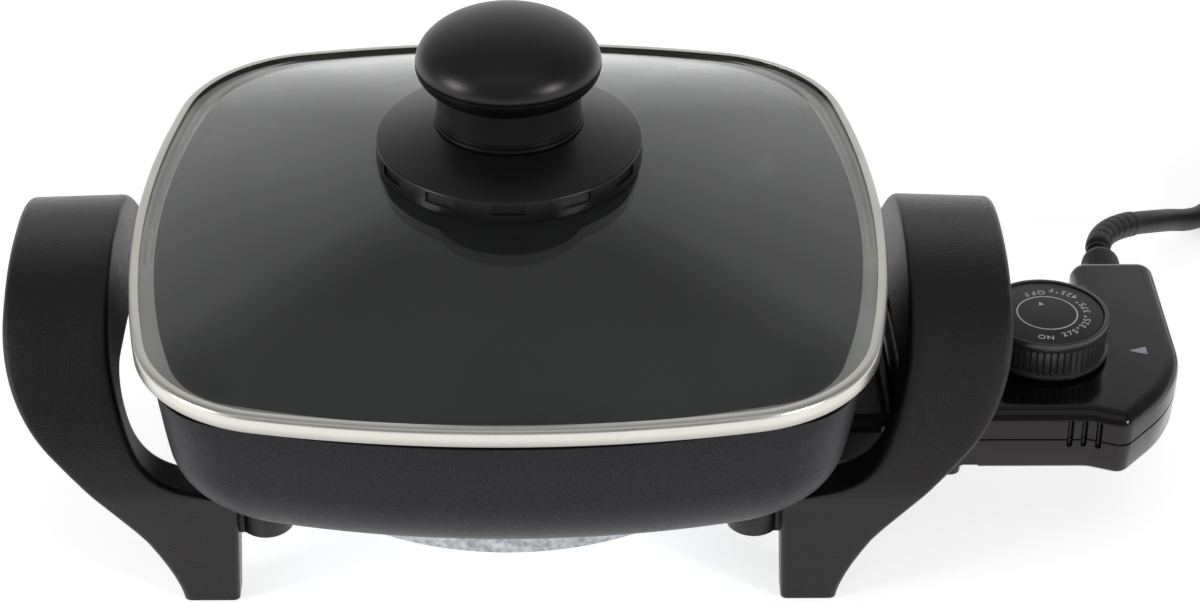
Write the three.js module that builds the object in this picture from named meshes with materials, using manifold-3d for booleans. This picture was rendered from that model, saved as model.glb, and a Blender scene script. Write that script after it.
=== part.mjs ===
// An eight inch electric skillet: a coated cast pan on two arch handles that end in its feet, a
// domed glass lid with a steel rim, and a heat control with a probe that plugs in under the
// right handle. Millimetres, Z up from the floor, X to the right and Y to the rear.

import * as THREE from 'three';
import { mergeVertices } from 'three/addons/utils/BufferGeometryUtils.js';
import Module from 'manifold-3d';

const wasm = await Module();
wasm.setup();

// Fits that all pieces share
const seatGap = 0.3;
const slideGap = 0.6;
const overrun = 6;
const weldDistance = 0.0005;

// Levels above the floor
const rimLevel = 87;
const probeDrop = 54.5;
const probeLevel = rimLevel - probeDrop;

// Pan
const panHalfWidth = 103.5;
const panSideRadius = 275;
const panCornerRadius = 24;
const panDepth = 47.2;
const panWall = 2.8;
const panFloor = 3.4;
const panFilletRadius = 30;
const panDraftDeg = 7.6;
const panLipRadius = 0.8;
const panCornerGrowthShare = 0.25;
const panRebateInset = 1.2;
const panRebateHeight = 1.8;
const postRadius = 5.5;
const postHeight = 5;

// Heater casting and what is in it
const plateInset = 28;
const plateRadius = panHalfWidth - plateInset;
const plateThickness = 9.2;
const plateChamfer = 1.2;
const elementRadius = 3.3;
const elementLoopInset = 23.5;
const elementLoopRadius = plateRadius - elementLoopInset;
const elementOpeningDeg = 42;
const pinSpread = 18.5;
const pinRadius = 2.4;
const pinReach = 24;
const elementEndReach = 1.5;
const elementEndX = plateRadius + elementEndReach;
const elementLegLength = 12;
const probeRadius = 3.2;
const probeReach = 57.5;
const probeTipX = plateRadius - probeReach;
const probeBossHalfWidth = 7;
const probeBossDrop = 3.6;

// Terminal guard
const guardStandoff = 7;
const guardLength = 23.5;
const guardLeft = plateRadius + guardStandoff;
const guardRight = guardLeft + guardLength;
const guardHalfWidth = 28.5;
const guardHalfHeight = 8.8;
const guardWall = 2;
const guardBack = 2.4;
const guardCornerRadius = 4;
const guardEarLength = 20;
const guardEarWidth = 8;
const guardEarThickness = 2.3;
const guardScrewInset = 15.5;

// Arch handles
const archHalfSpan = 57;
const archSpringHeight = 35;
const archOuterHeight = 89.2;
const archPower = 2.5;
const archRisePower = 1.4;
const archCrownTiltDeg = 2.2;
const archLegThickness = 13.4;
const archCrownThickness = 26.4;
const openingCornerRadius = 15.5;
const archFootThickness = 10;
const archTaperHeight = 34;
const archOuterEdgeRadius = 4;
const archInnerEdgeRadius = 1.8;
const shoulderDrop = 7.5;
const shoulderRadius = 47;
const shoulderTurnDeg = 45;
const lugRadius = 7.5;
const lugHeight = 13;
const lugWebHalfWidth = 4.5;
const lugPlateGap = 1.2;
const postInset = 8;
const postY = archHalfSpan - postInset;
const postX = Math.sqrt((plateRadius + lugRadius + lugPlateGap) ** 2 - postY ** 2);
const shinStandoff = 7;
const shinInnerX = postX + shinStandoff;
const footToeIn = 1.3;
const footLength = 15.8;
const footOuterX = shinInnerX + footToeIn + footLength;
const ankleReach = 27.5;
const ankleX = shinInnerX + ankleReach;
const ankleHeight = 21.4;
const ankleHollowPower = 1.4;
const gripInnerReach = 8;
const gripInnerX = panHalfWidth + gripInnerReach;
const gripDepth = 28.7;
const gripOuterX = gripInnerX + gripDepth;
const shelfDrop = 6.3;
const contourShares = [
  [0, 0],
  [0.053, 0.02],
  [0.236, 0.045],
  [0.428, 0.074],
  [0.589, 0.121],
  [0.708, 0.19],
  [0.786, 0.275],
  [0.853, 0.396],
  [0.919, 0.554],
  [0.967, 0.712],
  [1, 1],
];

// Screws
const screwRadius = 1.9;
const screwHeadRadius = 3.7;
const screwHeadHeight = 2.2;
const screwClearance = 0.25;
const smallScrewRadius = 1.3;
const smallScrewHeadRadius = 2.6;
const smallScrewHeadHeight = 1.7;

// Lid
const lidOverhang = 2.5;
const lidHalfWidth = panHalfWidth + lidOverhang;
const lidSideRadius = 328.5;
const lidCornerRadius = 43.5;
const lidRimHeight = 5.6;
const lidRimSheet = 0.8;
const lidRimTopWidth = 2.8;
const lidLipDrop = 5;
const lidRimEdgeRadius = 1.2;
const glassThickness = 4;
const glassEdgeGap = 0.35;
const glassFlatWidth = 5;
const glassRise = 23;
const glassHoleRadius = 4.2;

// Knob
const knobBaseRadius = 37.2;
const knobBaseTop = 32.2;
const knobSkirtHeight = 6.3;
const knobSkirtWall = 2.4;
const knobBaseCrown = 4.9;
const knobBaseHubRadius = 18;
const knobBaseHubWall = 2.6;
const knobSlotCount = 12;
const knobSlotWidth = 9;
const knobSlotHeight = 3.1;
const knobSlotDepth = 0.9;
const knobSlotDrop = 0.9;
const knobNeckRadius = 20;
const knobRingRadius = 20.9;
const knobRingHeight = 1.2;
const knobCapRadius = 25.7;
const knobPartingLevel = 55;
const knobCapHeight = 13.5;
const knobUnderHeight = 10.5;
const knobShell = 3;
const knobBoreRadius = 3;
const knobStemHubRadius = 8;
const knobScrewLength = 26;
const lidWasherRadius = 11;
const lidWasherThickness = 1.2;
const lidGasketRadius = 12.5;
const lidGasketThickness = 1.6;

// Heat control housing, measured from the pan's centre line
const housingHeight = 19.8;
const housingUndercut = 5.3;
const housingLowerHeight = 10.4;
const housingBottom = probeLevel - housingUndercut;
const housingTop = housingBottom + housingHeight;
const housingParting = housingBottom + housingLowerHeight;
const housingHalfWidth = 32.5;
const housingStandoff = 3;
const housingLength = 86.4;
const housingLeft = guardRight + housingStandoff;
const housingRight = housingLeft + housingLength;
const housingCornerRadius = 3;
const flareInset = 30.4;
const flareLength = 9.8;
const flareStartRadius = 6;
const flareCornerRadius = 4.5;
const flareCornerReach = 3.7;
const flareStartX = housingRight - flareInset;
const flareCornerX = flareStartX + flareLength;
const cheekInset = 6.9;
const cheekDepth = 12;
const cheekEndDepth = 27.5;
const cheekRadius = 48;
const cheekEndRadius = 38;
const armReach = 17.4;
const armWidth = 25.4;
const armCornerRadius = 5;
const armHollowRadius = 4;
const armRear = housingHalfWidth + armReach;
const armLeft = housingRight - armWidth;
const housingWall = 2.2;
const housingEdgeRadius = 4.4;
const housingFootChamfer = 1.2;
const housingDraft = 0.5;
const keelLength = 20.2;
const keelRight = housingLeft + keelLength;
const neckStepLength = 4.8;
const neckStepX = keelRight + neckStepLength;
const neckStepHeight = 1.2;
const keelDrop = 2.5;
const keelCornerRadius = 3;
const noseLeft = guardLeft + guardBack + slideGap;
const noseHalfWidth = 24;
const noseHalfHeight = 6.4;
const noseCornerRadius = 3;
const ventCount = 3;
const ventLead = 5.6;
const ventPitch = 4;
const ventWidth = 1.7;
const ventHeight = 9.1;
const ventDepth = 1.4;
const ventRise = 7.7;
const housingPostRadius = 3.4;
const housingScrewInset = 8.5;
const leftScrewInset = 13;
const rearScrewInset = 6.5;
const rearScrewRightInset = 8.4;
const frontScrewRightInset = 19.4;

// Parts in the heat control
const socketWall = 1;
const socketLength = 22;
const socketInset = 2;
const frameThickness = 1.4;
const frameHalfWidth = 11;
const frameInset = 5;
const frameLength = 52;
const frameLeft = housingLeft + frameInset;
const frameRight = frameLeft + frameLength;
const frameWallHeight = 5;
const bladeThickness = 0.9;
const bladeHalfWidth = 4;
const lampRadius = 2.4;
const lampLength = 12;
const lensInset = 15.4;
const lensLength = 5.5;
const lensHalfWidth = 1.95;
const lensForward = 1.2;
const lensTipX = housingRight - lensInset;
const lensBaseX = lensTipX + lensLength;
const lensProud = 0.3;

// Dial
const dialInset = 39.9;
const dialX = housingRight - dialInset;
const dialHeight = 11.8;
const dialRadius = 18.3;
const dialGripRadius = 17.9;
const dialRibDepth = 0.45;
const dialRibCount = 42;
const dialBandHeight = 3;
const dialRimWidth = 1.3;
const dialFaceDrop = 0.4;
const dialFaceThickness = 0.8;
const dialLipHeight = 1.2;
const dialShell = 2;
const dialHubRadius = 5;
const collarRadius = 17;
const collarHeight = 0.9;
const dialTop = housingTop + collarHeight + seatGap + dialHeight;
const shaftRadius = 3;
const shaftFlat = 0.9;

// Cord
const cordDiameter = 7.5;
const cordExitInset = 13;
const cordExitRise = 9.8;
const cordExitX = housingRight - cordExitInset;
const cordExitLevel = housingBottom + cordExitRise;
const reliefNeckRadius = 4.2;
const reliefNeckLength = 4;
const reliefFlangeRadius = 5.6;
const reliefFlangeThickness = 1.8;
const reliefBulbRadius = 5.9;
const reliefBulbLength = 17.5;
const reliefGrooveRadius = 3.1;
const reliefRingRadius = 3.6;
const reliefRingWidth = 1.4;
const reliefSleeveRadius = 4;
const reliefRibCount = 7;
const reliefRibLength = 5.2;
const reliefRibDepth = 0.35;
const coilRadius = 45;
const coilPitch = 8.2;
const coilTurns = 2.39;
const coilClimbTurns = 0.6;
const coilLayerRise = 8.1;
const coilReachX = 67.6;
const coilReachY = 117.1;
const coilStart = { x: cordExitX + coilReachX, y: armRear + coilReachY };
const coilHeadingDeg = 51;
const coilTailLength = 26;

// Plug
const plugLength = 34;
const plugWidth = 24;
const plugThickness = 15;
const plugNeckLength = 12;
const plugNeckShare = 0.72;
const plugBodyShares = [
  [0, 0.8],
  [0.3, 0.86],
  [0.6, 1],
  [1, 1],
];
const bladeSpacing = 12.7;
const plugBladeWidth = 6.3;
const plugBladeThickness = 1.5;
const plugBladeLength = 16;

// Counts that set how finely round forms are cut
const sideSteps = 6;
const cornerSteps = 6;
const roundSegments = 36;
const smallSegments = 12;
const outlineCornerSteps = 3;
const archSteps = 12;
const archStepPower = 1.4;
const archCornerSteps = 2;
const archFaceSteps = 3;
const legStationShares = [0, 0.25, 0.5, 0.72, 0.93, 0.96, 0.98];
const cordSides = 8;
const coilSides = 6;
const coilStepsPerTurn = 24;

const bakelite = plastic(0x151516, 0.62);
const gloss = plastic(0x0d0d0e, 0.22);
const coating = new THREE.MeshStandardMaterial({ color: 0x35343b, roughness: 0.55, metalness: 0.25 });
const castMetal = new THREE.MeshStandardMaterial({ color: 0xb4b9be, roughness: 0.5, metalness: 0.9 });
const steel = new THREE.MeshStandardMaterial({ color: 0xd8d2c6, roughness: 0.22, metalness: 1 });
const brass = new THREE.MeshStandardMaterial({ color: 0xb89b5e, roughness: 0.35, metalness: 1 });
const glass = new THREE.MeshStandardMaterial({
  color: 0x2c2e2f,
  roughness: 0.05,
  metalness: 0,
  transparent: true,
  opacity: 0.35,
});
const clear = new THREE.MeshStandardMaterial({ color: 0xdfe6f2, roughness: 0.3, metalness: 0 });
const rubber = plastic(0x1b1b1c, 0.7);
const silicone = plastic(0x8d8f90, 0.8);

function plastic(color, roughness) {
  return new THREE.MeshStandardMaterial({ color, roughness, metalness: 0 });
}

// The pan stands off the middle, so that the middle of pan, handles and control is at zero.
const panOffset = (gripOuterX - housingRight) / 2;
const group = new THREE.Group();
const skillet = new THREE.Group();
skillet.position.x = panOffset;
group.add(skillet);

// Solids and meshes

function withoutSlivers(index) {
  const kept = [];
  for (let i = 0; i < index.length; i += 3) {
    const [a, b, c] = [index[i], index[i + 1], index[i + 2]];
    if (a !== b && b !== c && c !== a) kept.push(a, b, c);
  }
  return kept;
}

function bareGeometry(geometry) {
  const bare = new THREE.BufferGeometry();
  bare.setAttribute('position', geometry.getAttribute('position').clone());
  if (geometry.index) bare.setIndex(geometry.index.clone());
  const merged = mergeVertices(bare, weldDistance);
  merged.setIndex(withoutSlivers(merged.index.array));
  return facingOut(merged);
}

function facingOut(geometry) {
  const place = geometry.getAttribute('position');
  const index = geometry.index.array;
  const [a, b, c] = [new THREE.Vector3(), new THREE.Vector3(), new THREE.Vector3()];
  let volume = 0;
  for (let i = 0; i < index.length; i += 3) {
    a.fromBufferAttribute(place, index[i]);
    b.fromBufferAttribute(place, index[i + 1]);
    c.fromBufferAttribute(place, index[i + 2]);
    volume += a.dot(b.cross(c));
  }
  if (volume < 0) {
    for (let i = 0; i < index.length; i += 3) {
      [index[i], index[i + 1]] = [index[i + 1], index[i]];
    }
  }
  return geometry;
}

function solid(geometry) {
  const bare = bareGeometry(geometry);
  return new wasm.Manifold(new wasm.Mesh({
    numProp: 3,
    vertProperties: new Float32Array(bare.getAttribute('position').array),
    triVerts: new Uint32Array(bare.index.array),
  }));
}

function join(...pieces) {
  return pieces.reduce((whole, piece) => whole.add(piece));
}

function cut(whole, ...cutters) {
  return cutters.reduce((rest, cutter) => rest.subtract(cutter), whole);
}

function geometryOf(shape) {
  if (shape instanceof THREE.BufferGeometry) return bareGeometry(shape);
  const mesh = shape.getMesh();
  const geometry = new THREE.BufferGeometry();
  geometry.setAttribute('position', new THREE.BufferAttribute(new Float32Array(mesh.vertProperties), 3));
  geometry.setIndex(Array.from(mesh.triVerts));
  return geometry;
}

function addPiece(name, shape, material, parent = skillet) {
  const geometry = geometryOf(shape);
  geometry.computeVertexNormals();
  const piece = new THREE.Mesh(geometry, material);
  piece.name = name;
  parent.add(piece);
  return piece;
}

// A closed skin over a row of rings that all have the same number of points. Its two ends are
// fans about the ring's middle, or about a place from which the whole outline can be seen.
function skin(rings, fanPlace) {
  const count = rings[0].length;
  const points = rings.flat();
  const index = [];
  for (let i = 0; i < rings.length - 1; i++) {
    for (let j = 0; j < count; j++) {
      const next = (j + 1) % count;
      const [a, b] = [i * count + j, i * count + next];
      const [c, d] = [a + count, b + count];
      index.push(a, b, d, a, d, c);
    }
  }
  const closeEnd = (ring, start, flip) => {
    const middle = new THREE.Vector3();
    ring.forEach((point) => middle.addScaledVector(point, 1 / count));
    points.push(fanPlace ? at(fanPlace.x, fanPlace.y, middle.z) : middle);
    for (let j = 0; j < count; j++) {
      const [a, b] = [start + j, start + (j + 1) % count];
      index.push(points.length - 1, flip ? b : a, flip ? a : b);
    }
  };
  closeEnd(rings[0], 0, true);
  closeEnd(rings[rings.length - 1], (rings.length - 1) * count, false);
  const geometry = new THREE.BufferGeometry().setFromPoints(points);
  geometry.setIndex(index);
  return geometry;
}

// A closed band round the Z axis over a section whose rings come back to the first one
function band(rings) {
  const count = rings[0].length;
  const index = [];
  for (let i = 0; i < rings.length; i++) {
    const after = (i + 1) % rings.length;
    for (let j = 0; j < count; j++) {
      const next = (j + 1) % count;
      const [a, b] = [i * count + j, i * count + next];
      const [c, d] = [after * count + j, after * count + next];
      index.push(a, b, d, a, d, c);
    }
  }
  const geometry = new THREE.BufferGeometry().setFromPoints(rings.flat());
  geometry.setIndex(index);
  return geometry;
}

function lathe(profile, segments = roundSegments) {
  const points = profile.map(([radius, level]) => new THREE.Vector2(radius, level));
  return new THREE.LatheGeometry(points, segments).rotateX(Math.PI / 2);
}

function rod(radius, bottom, top, segments = roundSegments) {
  const geometry = new THREE.CylinderGeometry(radius, radius, top - bottom, segments);
  return geometry.rotateX(Math.PI / 2).translate(0, 0, (top + bottom) / 2);
}

function rodAlongX(radius, left, right, y, level, segments = smallSegments) {
  const geometry = new THREE.CylinderGeometry(radius, radius, right - left, segments);
  return geometry.rotateZ(Math.PI / 2).translate((left + right) / 2, y, level);
}

function block(low, high) {
  const size = new THREE.Vector3().subVectors(high, low);
  const middle = new THREE.Vector3().addVectors(low, high).multiplyScalar(0.5);
  return new THREE.BoxGeometry(size.x, size.y, size.z).translate(middle.x, middle.y, middle.z);
}

function at(x, y, z) {
  return new THREE.Vector3(x, y, z);
}

function prism(outline, bottom, top) {
  const shape = new THREE.Shape(outline);
  const options = { depth: top - bottom, bevelEnabled: false };
  return new THREE.ExtrudeGeometry(shape, options).translate(0, 0, bottom);
}

function prismAlongX(outline, left, right) {
  const geometry = prism(outline, left, right);
  return geometry.rotateX(Math.PI / 2).rotateZ(Math.PI / 2);
}

// Outlines

// A square with bowed sides and round corners, drawn inwards by the inset
function bowedSquare(halfWidth, sideRadius, cornerRadius) {
  const sideCentre = halfWidth - sideRadius;
  const reach = sideRadius - cornerRadius;
  const corner = (sideCentre + Math.sqrt(2 * reach ** 2 - sideCentre ** 2)) / 2;
  const turn = Math.atan2(corner, corner - sideCentre);
  const quarter = [];
  for (let i = 0; i < sideSteps; i++) {
    const angle = turn * (2 * i / sideSteps - 1);
    const reachX = sideCentre + sideRadius * Math.cos(angle);
    quarter.push(new THREE.Vector2(reachX, sideRadius * Math.sin(angle)));
  }
  for (let i = 0; i < cornerSteps; i++) {
    const angle = turn + (Math.PI / 2 - 2 * turn) * i / cornerSteps;
    const reachX = corner + cornerRadius * Math.cos(angle);
    quarter.push(new THREE.Vector2(reachX, corner + cornerRadius * Math.sin(angle)));
  }
  const middle = new THREE.Vector2();
  return [0, 1, 2, 3].flatMap((side) => (
    quarter.map((point) => point.clone().rotateAround(middle, side * Math.PI / 2))
  ));
}

function ringAt(outline, level) {
  return outline.map((point) => at(point.x, point.y, level));
}

// Moves each edge of a polygon inwards, for outlines that run anticlockwise
function insetPolygon(points, inset) {
  return points.map((point, i) => {
    const before = points[(i + points.length - 1) % points.length];
    const after = points[(i + 1) % points.length];
    const inDirection = point.clone().sub(before).normalize();
    const outDirection = after.clone().sub(point).normalize();
    const inNormal = new THREE.Vector2(-inDirection.y, inDirection.x);
    const outNormal = new THREE.Vector2(-outDirection.y, outDirection.x);
    const mitre = inNormal.clone().add(outNormal);
    return point.clone().addScaledVector(mitre, 2 * inset / mitre.lengthSq());
  });
}

// Rounds each corner of a polygon by its own radius
function roundedPolygon(points, radii, steps = outlineCornerSteps) {
  return points.flatMap((point, i) => {
    const before = points[(i + points.length - 1) % points.length];
    const after = points[(i + 1) % points.length];
    const inDirection = point.clone().sub(before).normalize();
    const outDirection = after.clone().sub(point).normalize();
    const turn = Math.atan2(inDirection.cross(outDirection), inDirection.dot(outDirection));
    const reach = radii[i] * Math.tan(Math.abs(turn) / 2);
    const start = point.clone().addScaledVector(inDirection, -reach);
    const inward = new THREE.Vector2(-inDirection.y, inDirection.x);
    const centre = start.clone().addScaledVector(inward, Math.sign(turn) * radii[i]);
    return Array.from({ length: steps + 1 }, (unused, step) => (
      start.clone().rotateAround(centre, turn * step / steps)
    ));
  });
}

function rectangle(left, right, front, rear, radius = 0) {
  const corners = [[left, front], [right, front], [right, rear], [left, rear]];
  const points = corners.map(([x, y]) => new THREE.Vector2(x, y));
  return radius > 0 ? roundedPolygon(points, [radius, radius, radius, radius]) : points;
}

function screw(radius, headRadius, headHeight, length) {
  return lathe([
    [0, 0],
    [headRadius, 0],
    [headRadius, headHeight],
    [radius, headHeight],
    [radius, headHeight + length],
    [0, headHeight + length],
  ], smallSegments);
}

// Pan

const panTop = rimLevel - seatGap;
const panBottom = panTop - panDepth;

// Insets and levels of a drafted wall that turns into a flat floor, from the floor upwards
function wellProfile(wallInset, floorLevel, filletRadius, topDrop) {
  const slope = Math.tan(THREE.MathUtils.degToRad(panDraftDeg));
  const straight = panTop - floorLevel - filletRadius;
  const centre = wallInset + filletRadius * Math.sqrt(1 + slope ** 2) + slope * straight;
  const steps = 5;
  const profile = [];
  for (let i = 0; i <= steps; i++) {
    const angle = THREE.MathUtils.degToRad(90 - (90 - panDraftDeg) * i / steps);
    const inset = centre - filletRadius * Math.cos(angle);
    profile.push([inset, floorLevel + filletRadius - filletRadius * Math.sin(angle)]);
  }
  profile.push([wallInset + slope * topDrop, panTop - topDrop]);
  return profile;
}

function panRing([inset, level]) {
  const cornerRadius = panCornerRadius + panCornerGrowthShare * inset;
  return ringAt(bowedSquare(panHalfWidth - inset, panSideRadius - inset, cornerRadius), level);
}

function makePan() {
  const outside = wellProfile(0, panBottom, panFilletRadius, panRebateHeight);
  const inside = wellProfile(panWall, panBottom + panFloor, panFilletRadius - panWall, panLipRadius);
  const lip = [
    [panRebateInset, panTop - panRebateHeight],
    [panRebateInset, panTop],
    [panWall - panLipRadius, panTop],
  ];
  const rings = [...outside, ...lip, ...inside.reverse()].map(panRing);
  let pan = solid(skin(rings));
  for (const x of [-postX, postX]) {
    for (const y of [-postY, postY]) {
      const post = rod(postRadius, panBottom - postHeight, panBottom + panFloor / 2, smallSegments);
      const holeRadius = screwRadius + screwClearance;
      const hole = rod(holeRadius, panBottom - overrun, panBottom + panFloor / 3, smallSegments);
      pan = cut(join(pan, solid(post.translate(x, y, 0))), solid(hole.translate(x, y, 0)));
    }
  }
  addPiece('pan', pan, coating);
}

// Heater casting, element, pins and guard

const plateTop = panBottom - seatGap;
const plateBottom = plateTop - plateThickness;
const probeBoreRadius = probeRadius + seatGap;

function elementPath() {
  const points = [];
  const steps = 14;
  for (let i = 0; i <= steps; i++) {
    const angle = THREE.MathUtils.degToRad(elementOpeningDeg + (360 - 2 * elementOpeningDeg) * i / steps);
    points.push(at(elementLoopRadius * Math.cos(angle), elementLoopRadius * Math.sin(angle), probeLevel));
  }
  const legStart = elementEndX - elementLegLength;
  const rear = [at(elementEndX, pinSpread, probeLevel), at(legStart, pinSpread, probeLevel)];
  const front = [at(legStart, -pinSpread, probeLevel), at(elementEndX, -pinSpread, probeLevel)];
  return new THREE.CatmullRomCurve3([...rear, ...points, ...front], false, 'centripetal');
}

function tubeAlong(path, outline, steps) {
  const options = { steps, extrudePath: path, bevelEnabled: false };
  return new THREE.ExtrudeGeometry(new THREE.Shape(outline), options);
}

function circle(radius, sides) {
  return Array.from({ length: sides }, (_, i) => {
    const angle = 2 * Math.PI * i / sides;
    return new THREE.Vector2(radius * Math.cos(angle), radius * Math.sin(angle));
  });
}

function makeHeater() {
  const path = elementPath();
  const steps = 44;
  const channelHalf = elementRadius + seatGap;
  let plate = solid(lathe([
    [0, plateBottom],
    [plateRadius - plateChamfer, plateBottom],
    [plateRadius, plateBottom + plateChamfer],
    [plateRadius, plateTop],
    [0, plateTop],
  ]));
  const bossLeft = probeTipX - overrun;
  const bossRight = Math.sqrt(plateRadius ** 2 - probeBossHalfWidth ** 2);
  const boss = prism(
    rectangle(bossLeft, bossRight, -probeBossHalfWidth, probeBossHalfWidth, probeBossHalfWidth / 2),
    plateBottom - probeBossDrop,
    plateBottom + plateChamfer,
  );
  const channel = tubeAlong(path, rectangle(-channelHalf, plateThickness, -channelHalf, channelHalf), steps);
  const mouth = 2 * channelHalf;
  const exits = [-pinSpread, pinSpread].map((y) => solid(block(
    at(plateRadius - elementLegLength, y - channelHalf, plateBottom - overrun),
    at(plateRadius + overrun, y + channelHalf, plateBottom - overrun + mouth),
  )));
  const bore = rodAlongX(probeBoreRadius, probeTipX - seatGap, plateRadius + overrun, 0, probeLevel);
  const screwHoles = [-1, 1].map((side) => solid(rod(
    smallScrewRadius + screwClearance,
    plateBottom - overrun,
    plateBottom + plateThickness / 2,
    smallSegments,
  ).translate(guardLeft - guardScrewInset, side * guardScrewY, 0)));
  plate = cut(join(plate, solid(boss)), solid(channel), ...exits, solid(bore), ...screwHoles);
  addPiece('heater_casting', plate, castMetal);
  addPiece('heating_element', tubeAlong(path, circle(elementRadius, cordSides), steps), steel);
  for (const [name, y] of [['terminal_pin_front', -pinSpread], ['terminal_pin_rear', pinSpread]]) {
    const left = elementEndX + seatGap;
    addPiece(name, rodAlongX(pinRadius, left, left + pinReach, y, probeLevel), steel);
  }
}

const guardEarCentreY = guardHalfWidth - guardEarWidth / 4;
const guardScrewY = guardEarCentreY;

function makeGuard() {
  const outer = rectangle(
    -guardHalfWidth,
    guardHalfWidth,
    -guardHalfHeight,
    guardHalfHeight,
    guardCornerRadius,
  );
  const inner = rectangle(
    guardWall - guardHalfWidth,
    guardHalfWidth - guardWall,
    guardWall - guardHalfHeight,
    guardHalfHeight - guardWall,
    guardCornerRadius - guardWall,
  );
  const whole = prismAlongX(outer, guardLeft, guardRight).translate(0, 0, probeLevel);
  const hollow = prismAlongX(inner, guardLeft + guardBack, guardRight + overrun);
  let guard = cut(solid(whole), solid(hollow.translate(0, 0, probeLevel)));
  const earTop = plateBottom - seatGap;
  for (const side of [-1, 1]) {
    const y = side * guardEarCentreY;
    const ear = block(
      at(guardLeft - guardEarLength, y - guardEarWidth / 2, earTop - guardEarThickness),
      at(guardLeft + guardBack, y + guardEarWidth / 2, earTop),
    );
    const holeRadius = smallScrewRadius + screwClearance;
    const hole = rod(holeRadius, earTop - overrun, earTop + overrun, smallSegments);
    guard = cut(join(guard, solid(ear)), solid(hole.translate(guardLeft - guardScrewInset, y, 0)));
    const length = guardEarThickness + plateThickness / 3;
    const fixing = screw(smallScrewRadius, smallScrewHeadRadius, smallScrewHeadHeight, length);
    const name = side < 0 ? 'guard_screw_front' : 'guard_screw_rear';
    const headLevel = earTop - guardEarThickness - smallScrewHeadHeight - seatGap;
    addPiece(name, fixing.translate(guardLeft - guardScrewInset, y, headLevel), steel);
  }
  const pinHoles = [-pinSpread, pinSpread].map((y) => (
    solid(rodAlongX(pinRadius + seatGap, guardLeft - overrun, guardLeft + overrun, y, probeLevel))
  ));
  const probeHole = rodAlongX(probeBoreRadius, guardLeft - overrun, guardLeft + overrun, 0, probeLevel);
  addPiece('terminal_guard', cut(guard, ...pinHoles, solid(probeHole)), bakelite);
}

// Arch handles

// Outer side of the C that the handle makes when it is seen from the front
function outerX(level) {
  const top = rimLevel - shoulderDrop;
  const turn = THREE.MathUtils.degToRad(shoulderTurnDeg);
  const shoulderEnd = top - shoulderRadius * Math.sin(turn);
  const shoulderEndX = gripOuterX - shoulderRadius * (1 - Math.cos(turn));
  if (level >= top) return gripOuterX;
  if (level >= shoulderEnd) {
    return gripOuterX - shoulderRadius + Math.sqrt(shoulderRadius ** 2 - (top - level) ** 2);
  }
  if (level >= ankleHeight) {
    return ankleX + (shoulderEndX - ankleX) * (level - ankleHeight) / (shoulderEnd - ankleHeight);
  }
  return footOuterX + (ankleX - footOuterX) * (level / ankleHeight) ** ankleHollowPower;
}

// Inner side of the C, from the foot up: the inside of the leg, a shelf under the pan and a bow
// round the pan's side
const shelfLevel = panBottom - shelfDrop;
const innerContour = [
  [shinInnerX + footToeIn, 0],
  ...contourShares.map(([outward, upward]) => [
    THREE.MathUtils.lerp(shinInnerX, gripInnerX, outward),
    THREE.MathUtils.lerp(shelfLevel, rimLevel, upward),
  ]),
];

function innerX(level) {
  const after = innerContour.findIndex(([, height]) => height > level);
  if (after < 0) return innerContour[innerContour.length - 1][0];
  const [[x, height], [nextX, nextHeight]] = innerContour.slice(Math.max(after - 1, 0));
  return THREE.MathUtils.mapLinear(level, height, nextHeight, x, nextX);
}

// Edge of the arch's opening by the share of the way from the spring line to its middle: up the
// leg, round a corner and level under the grip
function openingEdge(share) {
  const legY = archHalfSpan - archLegThickness;
  const cornerY = legY - openingCornerRadius;
  const top = archOuterHeight - archCrownThickness;
  const cornerLevel = top - openingCornerRadius;
  const straight = cornerLevel - archSpringHeight;
  const bend = openingCornerRadius * Math.PI / 2;
  const along = share * (straight + bend + cornerY);
  if (along <= straight) return new THREE.Vector2(-legY, archSpringHeight + along);
  const turn = (along - straight) / openingCornerRadius;
  if (turn < Math.PI / 2) {
    const reach = cornerY + openingCornerRadius * Math.cos(turn);
    return new THREE.Vector2(-reach, cornerLevel + openingCornerRadius * Math.sin(turn));
  }
  return new THREE.Vector2(along - straight - bend - cornerY, top);
}

// Places along the arch, from the front foot over the top to the rear foot, each with a point on
// the outer edge and one on the edge of the opening
function archStations() {
  const legs = legStationShares.map((share) => {
    const level = share * archSpringHeight;
    const taper = Math.min(level / archTaperHeight, 1);
    const thickness = THREE.MathUtils.lerp(archFootThickness, archLegThickness, taper);
    return {
      outer: new THREE.Vector2(-archHalfSpan, level),
      inner: new THREE.Vector2(thickness - archHalfSpan, level),
    };
  });
  const rise = archOuterHeight - archSpringHeight;
  const outers = Array.from({ length: archSteps + 1 }, (_, i) => {
    const angle = Math.PI / 2 * (i / archSteps) ** archStepPower;
    return new THREE.Vector2(
      -archHalfSpan * Math.cos(angle) ** (2 / archPower),
      archSpringHeight + rise * Math.sin(angle) ** (2 / archRisePower),
    );
  });
  const lengths = [0];
  outers.slice(1).forEach((point, i) => lengths.push(lengths[i] + point.distanceTo(outers[i])));
  const arc = outers.map((outer, i) => (
    { outer, inner: openingEdge(lengths[i] / lengths[archSteps]) }
  ));
  const front = [...legs, ...arc];
  const rear = front.slice(0, -1).reverse().map(({ outer, inner }) => ({
    outer: new THREE.Vector2(-outer.x, outer.y),
    inner: new THREE.Vector2(-inner.x, inner.y),
  }));
  return [...front, ...rear];
}

// Adds points along a section's two long faces, so that they follow the C between their edges
function withFacePoints(section) {
  const faceStarts = [section.length / 2 - 1, section.length - 1];
  return section.flatMap((point, i) => {
    if (!faceStarts.includes(i)) return [point];
    const next = section[(i + 1) % section.length];
    return Array.from({ length: archFaceSteps }, (unused, step) => (
      point.clone().lerp(next, step / archFaceSteps)
    ));
  });
}

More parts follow.
